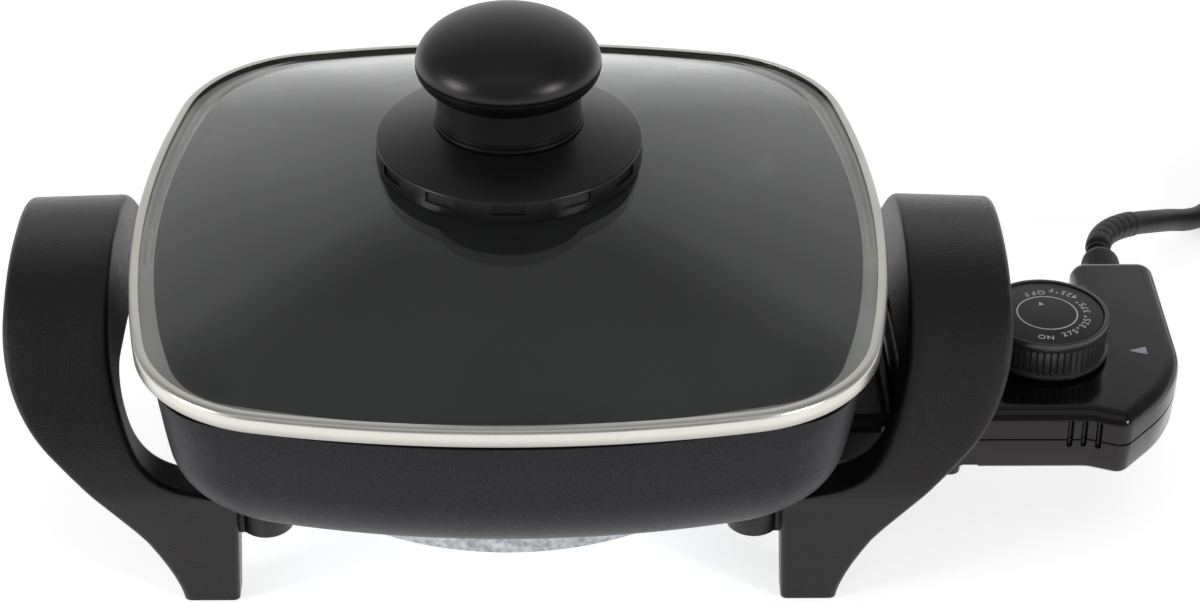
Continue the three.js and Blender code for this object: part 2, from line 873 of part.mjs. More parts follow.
function archRing({ outer, inner }) {
  const level = outer.y;
  const thickness = outer.distanceTo(inner);
  const width = outerX(level) - innerX(level);
  const crown = Math.max(level - archSpringHeight, 0) / (archOuterHeight - archSpringHeight);
  const tilt = Math.tan(THREE.MathUtils.degToRad(archCrownTiltDeg)) * crown;
  const corners = roundedPolygon(rectangle(0, width, 0, thickness), [
    archInnerEdgeRadius,
    archOuterEdgeRadius / 2,
    archOuterEdgeRadius,
    archInnerEdgeRadius,
  ], archCornerSteps);
  return withFacePoints(corners).map((point) => {
    const place = outer.clone().lerp(inner, point.y / thickness);
    const left = innerX(place.y);
    const x = left + (outerX(place.y) - left) * point.x / width;
    return at(x, place.x, place.y + (gripOuterX - x) * tilt);
  });
}

function makeHandle(side) {
  const sideName = side < 0 ? 'left' : 'right';
  const postBottom = panBottom - postHeight;
  const lugTop = postBottom - seatGap;
  const lugBottom = lugTop - lugHeight;
  let handle = solid(skin(archStations().map(archRing)));
  const headRoom = screwHeadHeight + screwClearance;
  for (const [end, y] of [['front', -postY], ['rear', postY]]) {
    const lug = rod(lugRadius, lugBottom, lugTop, 2 * smallSegments).translate(postX, y, 0);
    const web = block(
      at(postX, y - lugWebHalfWidth, lugBottom),
      at(shinInnerX + lugRadius / 2, y + lugWebHalfWidth, lugTop),
    );
    const holeRadius = screwRadius + screwClearance;
    const hole = rod(holeRadius, lugBottom - overrun, lugTop + overrun, smallSegments);
    const recessRadius = screwHeadRadius + screwClearance;
    const recess = rod(recessRadius, lugBottom - overrun, lugBottom + headRoom, smallSegments);
    handle = join(handle, solid(lug), solid(web));
    handle = cut(handle, solid(hole.translate(postX, y, 0)), solid(recess.translate(postX, y, 0)));
    const fixing = screw(screwRadius, screwHeadRadius, screwHeadHeight, lugHeight - headRoom + postHeight);
    const headLevel = lugBottom + headRoom - screwHeadHeight - seatGap;
    addPiece(`handle_screw_${sideName}_${end}`, fixing.translate(side * postX, y, headLevel), steel);
  }
  const geometry = geometryOf(handle);
  if (side < 0) geometry.scale(-1, 1, 1);
  addPiece(`handle_${sideName}`, geometry, bakelite);
}

// Lid

function lidOutline(inset) {
  return bowedSquare(lidHalfWidth - inset, lidSideRadius - inset, lidCornerRadius - inset);
}

const glassBottom = lidRimSheet + seatGap;
const glassInset = lidRimSheet + glassEdgeGap;

// Height of the glass's upper face over the rim's underside, by the share of the half width
function glassLevel(share) {
  return glassBottom + glassThickness + glassRise * (1 - share ** 2);
}

const lidCentreLevel = glassLevel(0);

function makeLidRim() {
  const section = [
    [lidRimEdgeRadius / 2, 0],
    [0, lidRimEdgeRadius],
    [0, lidRimHeight - lidRimEdgeRadius],
    [lidRimEdgeRadius, lidRimHeight],
    [lidRimTopWidth, lidRimHeight],
    [lidRimTopWidth, glassBottom + glassThickness + seatGap],
    [lidRimSheet, glassBottom + glassThickness + seatGap],
    [lidRimSheet, lidRimSheet],
  ];
  const wallInset = panWall + Math.tan(THREE.MathUtils.degToRad(panDraftDeg)) * lidLipDrop;
  const lipInset = wallInset + slideGap;
  const lip = [
    [lipInset + lidRimSheet, lidRimSheet],
    [lipInset + lidRimSheet, -lidLipDrop],
    [lipInset, -lidLipDrop],
    [lipInset, 0],
  ];
  const rings = section.map(([inset, level]) => ringAt(lidOutline(inset), rimLevel + level));
  const lipRings = lip.map(([inset, level]) => panRing([inset, rimLevel + level]));
  addPiece('lid_rim', band([...rings, ...lipRings]), steel);
}

function glassRing(share, level) {
  const flat = lidOutline(glassInset);
  const halfWidth = lidHalfWidth - glassInset;
  return flat.map((point) => {
    const square = point.clone().multiplyScalar(share);
    const round = point.clone().setLength(halfWidth * share);
    const mixed = round.lerp(square, share);
    return at(mixed.x, mixed.y, rimLevel + level);
  });
}

function makeGlass() {
  const halfWidth = lidHalfWidth - glassInset;
  const domeShare = 1 - glassFlatWidth / halfWidth;
  const holeShare = glassHoleRadius / halfWidth;
  const steps = 7;
  const shares = Array.from({ length: steps + 1 }, (_, i) => (
    holeShare + (domeShare - holeShare) * i / steps
  ));
  const domeLevel = (share) => glassLevel(Math.min(share / domeShare, 1)) - glassThickness;
  const under = shares.map((share) => glassRing(share, domeLevel(share)));
  const over = shares.map((share) => glassRing(share, domeLevel(share) + glassThickness));
  const edge = [glassRing(1, glassBottom), glassRing(1, glassBottom + glassThickness)];
  addPiece('lid_glass', band([...under, ...edge, ...over.reverse()]), glass);
}

function makeKnob() {
  const seat = rimLevel + lidCentreLevel + seatGap;
  const baseTop = rimLevel + knobBaseTop;
  const skirtBottom = baseTop - knobSkirtHeight;
  const neckFoot = baseTop + knobBaseCrown;
  const slotTop = baseTop - knobSlotDrop;
  let base = solid(lathe([
    [knobBoreRadius, seat],
    [knobBaseHubRadius, seat],
    [knobBaseHubRadius, seat + knobBaseHubWall],
    [knobBaseRadius - knobSkirtWall, baseTop - knobSkirtWall],
    [knobBaseRadius - knobSkirtWall, skirtBottom],
    [knobBaseRadius, skirtBottom],
    [knobBaseRadius, baseTop - knobSkirtWall / 3],
    [knobBaseRadius - knobSkirtWall / 3, baseTop],
    [knobRingRadius, neckFoot],
    [knobBoreRadius, neckFoot],
    [knobBoreRadius, seat],
  ]));
  for (let i = 0; i < knobSlotCount; i++) {
    const slot = block(
      at(knobBaseRadius - knobSlotDepth, -knobSlotWidth / 2, slotTop - knobSlotHeight),
      at(knobBaseRadius + overrun, knobSlotWidth / 2, slotTop),
    );
    base = cut(base, solid(slot.rotateZ(2 * Math.PI * i / knobSlotCount)));
  }
  addPiece('knob_base', base, bakelite);

  const stemBottom = neckFoot + seatGap;
  const parting = rimLevel + knobPartingLevel;
  const neckTurn = Math.acos(knobNeckRadius / knobCapRadius);
  const underside = parting - knobUnderHeight * Math.sin(neckTurn);
  const bowlSteps = 4;
  const bowl = Array.from({ length: bowlSteps + 1 }, (_, i) => {
    const turn = neckTurn * (1 - i / bowlSteps);
    return [knobCapRadius * Math.cos(turn), parting - knobUnderHeight * Math.sin(turn)];
  });
  const stem = lathe([
    [knobBoreRadius, stemBottom],
    [knobRingRadius, stemBottom],
    [knobRingRadius, stemBottom + knobRingHeight],
    [knobNeckRadius, stemBottom + 2 * knobRingHeight],
    ...bowl,
    [knobStemHubRadius, parting],
    [knobStemHubRadius, underside],
    [knobBoreRadius, underside],
    [knobBoreRadius, stemBottom],
  ]);
  addPiece('knob_stem', stem, bakelite);

  const capBottom = parting + seatGap;
  const steps = 8;
  const outside = [];
  const inside = [];
  for (let i = 0; i <= steps; i++) {
    const turn = Math.PI / 2 * i / steps;
    const radius = knobCapRadius * Math.cos(turn);
    outside.push([i < steps ? radius : 0, capBottom + knobCapHeight * Math.sin(turn)]);
    if (i % 2 === 0) {
      const innerRadius = (knobCapRadius - knobShell) * Math.cos(turn);
      const innerLevel = capBottom + (knobCapHeight - knobShell) * Math.sin(turn);
      inside.push([i < steps ? innerRadius : 0, innerLevel]);
    }
  }
  addPiece('knob_cap', lathe([...outside, ...inside.reverse(), outside[0]]), bakelite);

  const glassUnder = rimLevel + lidCentreLevel - glassThickness;
  const gasketBottom = glassUnder - seatGap - lidGasketThickness - glassSag(lidGasketRadius);
  const gasket = washer(glassHoleRadius, lidGasketRadius, gasketBottom, lidGasketThickness);
  addPiece('lid_gasket', gasket, silicone);
  const washerBottom = gasketBottom - seatGap - lidWasherThickness;
  const plate = washer(knobBoreRadius, lidWasherRadius, washerBottom, lidWasherThickness);
  addPiece('lid_washer', plate, steel);
  const headLevel = washerBottom - seatGap - screwHeadHeight;
  const shankRadius = knobBoreRadius - screwClearance;
  const knobScrew = screw(shankRadius, 2 * screwHeadRadius, screwHeadHeight, knobScrewLength);
  addPiece('knob_screw', knobScrew.translate(0, 0, headLevel), steel);
}

function glassSag(radius) {
  return glassRise * (radius / lidHalfWidth) ** 2;
}

function washer(innerRadius, outerRadius, bottom, thickness) {
  return lathe([
    [innerRadius, bottom],
    [outerRadius, bottom],
    [outerRadius, bottom + thickness],
    [innerRadius, bottom + thickness],
    [innerRadius, bottom],
  ], smallSegments);
}

// Heat control

const housingCorners = [
  [housingLeft, -housingHalfWidth, housingCornerRadius],
  [flareStartX, -housingHalfWidth, flareStartRadius],
  [flareCornerX, -housingHalfWidth - flareCornerReach, flareCornerRadius],
  [housingRight - cheekInset, cheekDepth - housingHalfWidth, cheekRadius],
  [housingRight, cheekEndDepth - housingHalfWidth, cheekEndRadius],
  [housingRight, armRear, armCornerRadius],
  [armLeft, armRear, armCornerRadius],
  [armLeft, housingHalfWidth, armHollowRadius],
  [housingLeft, housingHalfWidth, housingCornerRadius],
];
const hollowCorners = [1, 7];

function housingOutline(inset) {
  const corners = housingCorners.map(([x, y]) => new THREE.Vector2(x, y));
  const radii = housingCorners.map(([, , radius], i) => (
    hollowCorners.includes(i) ? radius + inset : Math.max(radius - inset, radius / 8)
  ));
  return roundedPolygon(insetPolygon(corners, inset), radii);
}

function housingRings(profile) {
  const rings = profile.map(([inset, level]) => ringAt(housingOutline(inset), level));
  return solid(skin(rings, new THREE.Vector2(cordExitX, 0)));
}

const housingScrewPlaces = [
  {
    name: 'left',
    x: housingLeft + leftScrewInset,
    y: housingHalfWidth - housingScrewInset,
  },
  {
    name: 'rear',
    x: housingRight - rearScrewRightInset,
    y: housingHalfWidth - rearScrewInset,
  },
  {
    name: 'front',
    x: housingRight - frontScrewRightInset,
    y: housingScrewInset - housingHalfWidth,
  },
];

const ventLevel = housingBottom + ventRise;

function ventCutters() {
  return Array.from({ length: ventCount }, (_, i) => {
    const x = flareStartX - ventLead + i * ventPitch;
    const past = Math.max(x - flareStartX, 0) / flareLength;
    const face = -housingHalfWidth - flareCornerReach * past;
    const [left, right] = [x - ventWidth / 2, x + ventWidth / 2];
    const outline = rectangle(left, right, ventLevel, ventLevel + ventHeight, ventWidth / 2);
    const slot = prism(outline, 0, overrun).rotateX(Math.PI / 2);
    return solid(slot.translate(0, face + ventDepth, 0));
  });
}

const controlInsideTop = housingTop - housingWall;
const exitHole = () => solid(new THREE.CylinderGeometry(
  reliefNeckRadius + seatGap,
  reliefNeckRadius + seatGap,
  housingWall + overrun,
  2 * smallSegments,
).translate(cordExitX, armRear, cordExitLevel));

// The block that plugs into the terminal guard, grown by a margin for the hole that takes it
function noseShape(margin, right) {
  const outline = rectangle(
    -noseHalfWidth - margin,
    noseHalfWidth + margin,
    -noseHalfHeight - margin,
    noseHalfHeight + margin,
    noseCornerRadius,
  );
  return prismAlongX(outline, noseLeft, right).translate(0, 0, probeLevel);
}

function makeUpperHousing() {
  const steps = 4;
  const profile = [[0, housingParting]];
  for (let i = 0; i <= steps; i++) {
    const angle = Math.PI / 2 * i / steps;
    const inset = housingEdgeRadius * (1 - Math.cos(angle));
    profile.push([inset, housingTop - housingEdgeRadius * (1 - Math.sin(angle))]);
  }
  const cavity = [
    [housingWall, housingParting - overrun],
    [housingWall, controlInsideTop - housingEdgeRadius / 2],
    [housingWall + housingEdgeRadius / 2, controlInsideTop],
  ];
  const collar = rod(collarRadius, housingTop - housingWall / 2, housingTop + collarHeight);
  const shaftHole = rod(
    shaftRadius + slideGap,
    controlInsideTop - overrun,
    housingTop + overrun,
    2 * smallSegments,
  );
  const lensHole = prism(lensOutline(-seatGap), controlInsideTop - overrun, housingTop + overrun);
  const posts = housingScrewPlaces.map(({ x, y }) => solid(rod(
    housingPostRadius,
    housingParting + seatGap,
    controlInsideTop + housingWall / 2,
    smallSegments,
  ).translate(x, y, 0)));
  const pilots = housingScrewPlaces.map(({ x, y }) => solid(rod(
    smallScrewRadius + screwClearance,
    housingParting - overrun,
    controlInsideTop - housingWall,
    smallSegments,
  ).translate(x, y, 0)));
  let upper = cut(housingRings(profile), housingRings(cavity));
  upper = join(upper, solid(collar.translate(dialX, 0, 0)), ...posts);
  const notch = solid(noseShape(seatGap, housingLeft + housingWall + overrun));
  upper = cut(upper, solid(shaftHole.translate(dialX, 0, 0)), solid(lensHole), notch, exitHole());
  upper = cut(upper, ...ventCutters(), ...pilots);
  addPiece('control_upper_housing', upper, gloss, control);
}

function makeLowerHousing() {
  const top = housingParting - seatGap;
  const outside = [
    [housingFootChamfer + housingDraft, housingBottom],
    [housingDraft, housingBottom + housingFootChamfer],
    [0, top],
  ];
  const cavity = [
    [housingWall + housingDraft, housingBottom + housingWall],
    [housingWall, top + overrun],
  ];
  const keelLevel = housingBottom - keelDrop;
  const keelHalfWidth = housingHalfWidth - housingDraft;
  const keel = prism(
    rectangle(housingLeft, keelRight, -keelHalfWidth, keelHalfWidth, keelCornerRadius),
    keelLevel,
    housingBottom + housingWall,
  );
  const step = block(
    at(keelRight, -housingHalfWidth - overrun, housingBottom - overrun),
    at(neckStepX, housingHalfWidth + overrun, housingBottom + neckStepHeight),
  );
  const nose = noseShape(0, housingLeft + housingWall);
  const posts = housingScrewPlaces.map(({ x, y }) => solid(rod(
    housingPostRadius,
    housingBottom + housingWall / 2,
    housingParting,
    smallSegments,
  ).translate(x, y, 0)));
  const holes = housingScrewPlaces.flatMap(({ x, y }) => [
    solid(rod(
      smallScrewRadius + screwClearance,
      keelLevel - overrun,
      housingTop,
      smallSegments,
    ).translate(x, y, 0)),
    solid(rod(
      smallScrewHeadRadius + screwClearance,
      keelLevel - overrun,
      housingBottom + smallScrewHeadHeight + seatGap,
      smallSegments,
    ).translate(x, y, 0)),
  ]);
  let lower = join(housingRings(outside), solid(keel));
  lower = cut(lower, solid(step), housingRings(cavity));
  const shelfHalfWidth = housingHalfWidth - housingWall;
  const shelfBottom = housingBottom + neckStepHeight;
  const shelf = block(
    at(keelRight - housingWall, -shelfHalfWidth, shelfBottom - seatGap),
    at(neckStepX + housingWall, shelfHalfWidth, shelfBottom + housingWall),
  );
  lower = join(lower, solid(shelf), solid(nose), ...posts);
  const [boreLeft, boreRight] = [noseLeft - overrun, housingLeft + overrun];
  const socketHoleRadius = pinRadius + socketWall + 2 * seatGap;
  const socketHoles = [-pinSpread, pinSpread].map((y) => (
    solid(rodAlongX(socketHoleRadius, boreLeft, boreRight, y, probeLevel))
  ));
  const probeHole = solid(rodAlongX(probeBoreRadius, boreLeft, boreRight, 0, probeLevel));
  lower = cut(lower, ...socketHoles, probeHole, exitHole(), ...ventCutters(), ...holes);
  addPiece('control_lower_housing', lower, gloss, control);
  for (const { name, x, y } of housingScrewPlaces) {
    const fixing = screw(
      smallScrewRadius,
      smallScrewHeadRadius,
      smallScrewHeadHeight,
      housingLowerHeight,
    );
    addPiece(`housing_screw_${name}`, fixing.translate(x, y, housingBottom), steel, control);
  }
}

function lensOutline(inset) {
  const corners = [
    [lensTipX, -lensForward],
    [lensBaseX, -lensForward - lensHalfWidth],
    [lensBaseX, lensHalfWidth - lensForward],
  ];
  return insetPolygon(corners.map(([x, y]) => new THREE.Vector2(x, y)), inset);
}

function makeControlInside() {
  const lens = prism(lensOutline(0), controlInsideTop - housingWall / 2, housingTop + lensProud);
  addPiece('pointer_lens', lens, clear, control);

  const socketLeft = noseLeft + socketInset;
  const socketRight = socketLeft + socketLength;
  for (const [name, y] of [['contact_socket_front', -pinSpread], ['contact_socket_rear', pinSpread]]) {
    const boreRadius = pinRadius + seatGap;
    const boreEnd = socketRight - overrun / 2;
    const tube = rodAlongX(boreRadius + socketWall, socketLeft, socketRight, y, probeLevel);
    const bore = rodAlongX(boreRadius, socketLeft - overrun, boreEnd, y, probeLevel);
    addPiece(name, cut(solid(tube), solid(bore)), brass, control);
  }
  const probeSides = 2 * smallSegments;
  const probeRight = frameLeft - seatGap;
  const probe = rodAlongX(probeRadius, probeTipX, probeRight, 0, probeLevel, probeSides);
  addPiece('sensor_probe', probe, steel, control);

  const floor = housingBottom + neckStepHeight + housingWall + seatGap;
  const plate = block(
    at(frameLeft, -frameHalfWidth, floor),
    at(frameRight, frameHalfWidth, floor + frameThickness),
  );
  const walls = [-1, 1].map((side) => solid(block(
    at(frameLeft, side > 0 ? frameHalfWidth - frameThickness : -frameHalfWidth, floor),
    at(frameRight, side > 0 ? frameHalfWidth : frameThickness - frameHalfWidth, floor + frameWallHeight),
  )));
  addPiece('thermostat_frame', join(solid(plate), ...walls), steel, control);

  const bladeBottom = floor + frameThickness + seatGap;
  const blade = block(
    at(frameLeft + frameThickness, -bladeHalfWidth, bladeBottom),
    at(dialX + shaftRadius, bladeHalfWidth, bladeBottom + bladeThickness),
  );
  addPiece('bimetal_blade', blade, brass, control);

  const lampLevel = controlInsideTop - housingWall / 2 - seatGap - lampRadius;
  const lamp = new THREE.CapsuleGeometry(lampRadius, lampLength - 2 * lampRadius, 2, smallSegments);
  lamp.translate((lensTipX + lensBaseX) / 2, -lensForward, lampLevel);
  addPiece('pilot_lamp', lamp, clear, control);
}

// Dial

function ribbedRing(radius, depth, level) {
  return Array.from({ length: 2 * dialRibCount }, (_, i) => {
    const angle = Math.PI * i / dialRibCount;
    const reach = radius - (i % 2 ? depth : 0);
    return at(dialX + reach * Math.cos(angle), reach * Math.sin(angle), level);
  });
}

function makeDial() {
  const bottom = dialTop - dialHeight;
  const faceLevel = dialTop - dialFaceDrop - dialFaceThickness;
  const faceRadius = dialGripRadius - dialRimWidth;
  const bandBottom = dialTop - dialBandHeight;
  let body = solid(skin([
    ribbedRing(dialRadius, 0, bottom),
    ribbedRing(dialRadius, 0, bottom + dialLipHeight),
    ribbedRing(dialGripRadius, dialRibDepth, bottom + dialLipHeight),
    ribbedRing(dialGripRadius, dialRibDepth, bandBottom),
    ribbedRing(dialGripRadius, 0, bandBottom),
    ribbedRing(dialGripRadius, 0, dialTop),
  ]));
  const segments = dialRibCount;
  const recess = rod(faceRadius, faceLevel - seatGap, dialTop + overrun, segments);
  const hollow = rod(dialGripRadius - dialShell, bottom - overrun, faceLevel - dialShell, segments);
  const hub = rod(
    dialHubRadius,
    bottom + dialLipHeight,
    faceLevel - dialShell / 2,
    2 * smallSegments,
  );
  body = cut(body, solid(recess.translate(dialX, 0, 0)), solid(hollow.translate(dialX, 0, 0)));
  body = join(body, solid(hub.translate(dialX, 0, 0)));
  const socketTop = faceLevel - dialShell;
  body = cut(body, solid(shaftShape(shaftRadius + screwClearance, bottom - overrun, socketTop)));
  addPiece('dial', body, gloss, dialGroup);

  const face = rod(faceRadius - seatGap, faceLevel, faceLevel + dialFaceThickness, segments);
  addPiece('dial_face', face.translate(dialX, 0, 0), bakelite, dialGroup);

  const floor = housingBottom + neckStepHeight + housingWall + frameThickness + bladeThickness;
  const shaftBottom = floor + 4 * seatGap;
  addPiece('dial_shaft', shaftShape(shaftRadius, shaftBottom, socketTop - seatGap), brass, dialGroup);
}

// A round bar with one flat, standing on the dial's axis
function shaftShape(radius, bottom, top) {
  const flatAngle = Math.acos(1 - shaftFlat / radius);
  const outline = Array.from({ length: 2 * smallSegments }, (_, i) => {
    const angle = flatAngle + (2 * Math.PI - 2 * flatAngle) * i / (2 * smallSegments - 1);
    return new THREE.Vector2(dialX + radius * Math.cos(angle), radius * Math.sin(angle));
  });
  return prism(outline, bottom, top);
}

// Cord: the free stretch's points from the housing's rear wall to the coil, each as its reach to
// the right and to the rear of the exit and the share of the exit's height that is left
const cordFloorLevel = cordDiameter / 2;
const cordRoute = [
  [0, -reliefNeckLength, 1],
  [0, 8.1, 1],
  [0.2, 17.1, 1],
  [1, 22.8, 0.997],
  [2.7, 28.6, 0.97],
  [5.3, 34.7, 0.925],
  [9, 41, 0.865],
  [13.4, 47.3, 0.79],
  [19.4, 55.5, 0.669],
  [26.4, 65, 0.513],
  [35.8, 77.9, 0.296],
  [43.2, 86.9, 0.134],
  [50.8, 96.3, 0.017],
  [59.1, 106.7, 0],
  [coilReachX, coilReachY, 0],
].map(([right, rear, share]) => at(
  cordExitX + right,
  armRear + rear,
  THREE.MathUtils.lerp(cordFloorLevel, cordExitLevel, share),
));

function cordCurve() {
  return new THREE.CatmullRomCurve3(cordRoute, false, 'centripetal');
}

// Rings of a round tube at the given lengths along a curve, each with a radius of its own
function tubeRings(curve, profile, sides) {
  const total = curve.getLength();
  const startTangent = curve.getTangentAt(0);
  const reference = new THREE.Vector3().crossVectors(startTangent, at(0, 0, 1));
  return profile.map(([along, radius]) => {
    const centre = curve.getPointAt(along / total);
    const tangent = curve.getTangentAt(along / total);
    const across = reference.clone().addScaledVector(tangent, -reference.dot(tangent)).normalize();
    const up = new THREE.Vector3().crossVectors(across, tangent);
    return Array.from({ length: sides }, (unused, j) => {
      const angle = 2 * Math.PI * j / sides;
      return centre.clone()
        .addScaledVector(up, radius * Math.cos(angle))
        .addScaledVector(across, radius * Math.sin(angle));
    });
  });
}

// Strain relief, from its flange inside the housing: bulb, grooved neck and a ribbed sleeve
function reliefProfile() {
  const bulbStart = reliefNeckLength + seatGap;
  const bulbEnd = bulbStart + reliefBulbLength;
  const domeLength = reliefBulbRadius;
  const profile = [
    [0, reliefNeckRadius],
    [bulbStart, reliefNeckRadius],
    [bulbStart, reliefBulbRadius],
  ];
  const domeSteps = 4;
  for (let i = 0; i < domeSteps; i++) {
    const share = i / domeSteps;
    const along = bulbEnd - domeLength * (1 - share);
    profile.push([along, reliefBulbRadius * Math.sqrt(1 - share ** 2)]);
  }
  profile.push([bulbEnd, reliefGrooveRadius]);
  profile.push([bulbEnd + reliefRingWidth, reliefGrooveRadius]);
  profile.push([bulbEnd + reliefRingWidth, reliefRingRadius]);
  profile.push([bulbEnd + 2 * reliefRingWidth, reliefRingRadius]);
  profile.push([bulbEnd + 2 * reliefRingWidth, reliefGrooveRadius]);
  const sleeveStart = bulbEnd + 3 * reliefRingWidth;
  for (let i = 0; i < reliefRibCount; i++) {
    const share = i / (reliefRibCount - 1);
    const endRadius = cordDiameter / 2 + reliefRibDepth;
    const radius = THREE.MathUtils.lerp(reliefSleeveRadius, endRadius, share);
    const start = sleeveStart + reliefRibLength * i;
    profile.push([start, radius - reliefRibDepth]);
    profile.push([start + reliefRibDepth, radius]);
    profile.push([start + reliefRibLength - 2 * reliefRibDepth, radius]);
    profile.push([start + reliefRibLength - reliefRibDepth, radius - reliefRibDepth]);
  }
  return profile;
}

function makeCord() {
  const curve = cordCurve();
  const profile = reliefProfile();
  const reliefLength = profile[profile.length - 1][0];
  const sleeve = solid(skin(tubeRings(curve, profile, cordSides + 2)));
  const flangeRear = armRear - housingWall - housingDraft - seatGap;
  const sides = 2 * smallSegments;
  const flange = new THREE.CylinderGeometry(
    reliefFlangeRadius,
    reliefFlangeRadius,
    reliefFlangeThickness,
    sides,
  );
  flange.translate(cordExitX, flangeRear - reliefFlangeThickness / 2, cordExitLevel);
  const relief = join(sleeve, solid(flange));
  addPiece('strain_relief', relief, rubber, control);

  const total = curve.getLength();
  const freeStart = reliefLength + seatGap;
  const freeSteps = 24;
  const freeProfile = Array.from({ length: freeSteps + 1 }, (_, i) => (
    [freeStart + (total - seatGap - freeStart) * i / freeSteps, cordDiameter / 2]
  ));
  const free = tubeRings(curve, freeProfile, cordSides);
  addPiece('power_cord', skin(free), rubber, control);
  const coil = coilPoints();
  addPiece('cord_coil', coilTube(coil), rubber, control);
  const coilLength = coil.slice(1).reduce((sum, point, i) => sum + point.distanceTo(coil[i]), 0);
  console.log(`cord: ${(total + coilLength).toFixed(0)} mm`);
  console.log(`coil's least gap to itself: ${selfGap(coil).toFixed(2)} mm`);
  makePlug(coil);
}

// Middle line of the coil: straight in, spiral in, climb, spiral out, straight to the plug
function coilPoints() {
  const heading = THREE.MathUtils.degToRad(coilHeadingDeg);
  const forward = at(Math.cos(heading), Math.sin(heading), 0);
  const toCentre = at(Math.sin(heading), -Math.cos(heading), 0);
  const start = at(coilStart.x, coilStart.y, cordFloorLevel);
  const loopStart = start.clone().addScaledVector(forward, cordDiameter);
  const centre = loopStart.clone().addScaledVector(toCentre, coilRadius);
  const firstAngle = heading + Math.PI / 2;
  const steps = Math.round(coilTurns * coilStepsPerTurn);
  const points = [start];
  for (let i = 0; i <= steps; i++) {
    const turns = coilTurns * i / steps;
    const depth = Math.min(turns, coilTurns - turns);
    const climbStart = (coilTurns - coilClimbTurns) / 2;
    const climb = THREE.MathUtils.smoothstep(turns, climbStart, climbStart + coilClimbTurns);
    const angle = firstAngle - 2 * Math.PI * turns;
    const radius = coilRadius - coilPitch * depth;
    points.push(at(
      centre.x + radius * Math.cos(angle),
      centre.y + radius * Math.sin(angle),
      cordFloorLevel + coilLayerRise * climb,
    ));
  }
  const last = points[points.length - 1];
  const lastAngle = firstAngle - 2 * Math.PI * coilTurns;
  const onward = at(Math.sin(lastAngle), -Math.cos(lastAngle), 0);
  const tailSteps = 3;
  for (let i = 1; i <= tailSteps; i++) {
    const share = THREE.MathUtils.smoothstep(i, 0, tailSteps);
    const point = last.clone().addScaledVector(onward, coilTailLength * i / tailSteps);
    point.z = last.z + (plugThickness / 2 - last.z) * share;
    points.push(point);
  }
  points.push(points[points.length - 1].clone().addScaledVector(onward, cordDiameter));
  return points;
}

function coilTube(points) {
  const rings = points.map((point, i) => {
    const before = points[Math.max(i - 1, 0)];
    const after = points[Math.min(i + 1, points.length - 1)];
    const tangent = after.clone().sub(before).normalize();
    const across = new THREE.Vector3().crossVectors(at(0, 0, 1), tangent).normalize();
    const up = new THREE.Vector3().crossVectors(tangent, across);
    return Array.from({ length: coilSides }, (_, j) => {
      const angle = 2 * Math.PI * j / coilSides;
      return point.clone()
        .addScaledVector(across, cordDiameter / 2 * Math.cos(angle))
        .addScaledVector(up, cordDiameter / 2 * Math.sin(angle));
    });
  });
  return skin(rings);
}

// Least gap between stretches of the coil that lie more than half a turn apart
function selfGap(points) {
  let least = Infinity;
  for (let i = 0; i < points.length; i++) {
    for (let j = i + coilStepsPerTurn / 2; j < points.length - 1; j++) {
      const segment = new THREE.Line3(points[j], points[j + 1]);
      const nearest = segment.closestPointToPoint(points[i], true, new THREE.Vector3());
      least = Math.min(least, nearest.distanceTo(points[i]));
    }
  }
  return least - cordDiameter;
}

function makePlug(coil) {
  const end = coil[coil.length - 1];
  const onward = end.clone().sub(coil[coil.length - 2]).setZ(0).normalize();
  const plug = new THREE.Group();
  plug.position.copy(end).addScaledVector(onward, seatGap);
  plug.rotation.z = Math.atan2(onward.y, onward.x);
  control.add(plug);
  const section = (x, width, thickness) => (
    rectangle(-width / 2, width / 2, -thickness / 2, thickness / 2, thickness / 4)
      .map((point) => at(x, point.x, point.y))
  );
  const neck = plugThickness * plugNeckShare;
  const body = skin([
    section(0, neck, neck),
    section(plugNeckLength / 2, neck, neck),
    ...plugBodyShares.map(([along, width]) => (
      section(plugNeckLength + plugLength * along, plugWidth * width, plugThickness)
    )),
  ]);
  addPiece('plug_body', body, rubber, plug);
  const bladeLeft = plugNeckLength + plugLength + seatGap;
  for (const [name, side] of [['plug_blade_left', 1], ['plug_blade_right', -1]]) {
    const y = side * bladeSpacing / 2;
    const blade = block(
      at(bladeLeft, y - plugBladeThickness / 2, -plugBladeWidth / 2),
      at(bladeLeft + plugBladeLength, y + plugBladeThickness / 2, plugBladeWidth / 2),
    );
    addPiece(name, blade, brass, plug);
  }
}

const control = new THREE.Group();
const dialGroup = new THREE.Group();
control.add(dialGroup);
skillet.add(control);

makePan();
makeHeater();
makeGuard();
makeHandle(-1);
makeHandle(1);
makeLidRim();
makeGlass();
makeKnob();
makeUpperHousing();
makeLowerHousing();
makeControlInside();
makeDial();
makeCord();

export default group;
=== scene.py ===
from math import acos, atan2, copysign, cos, pi, radians, sin, sqrt, tan

import bmesh
import bpy
from mathutils import Matrix, Vector


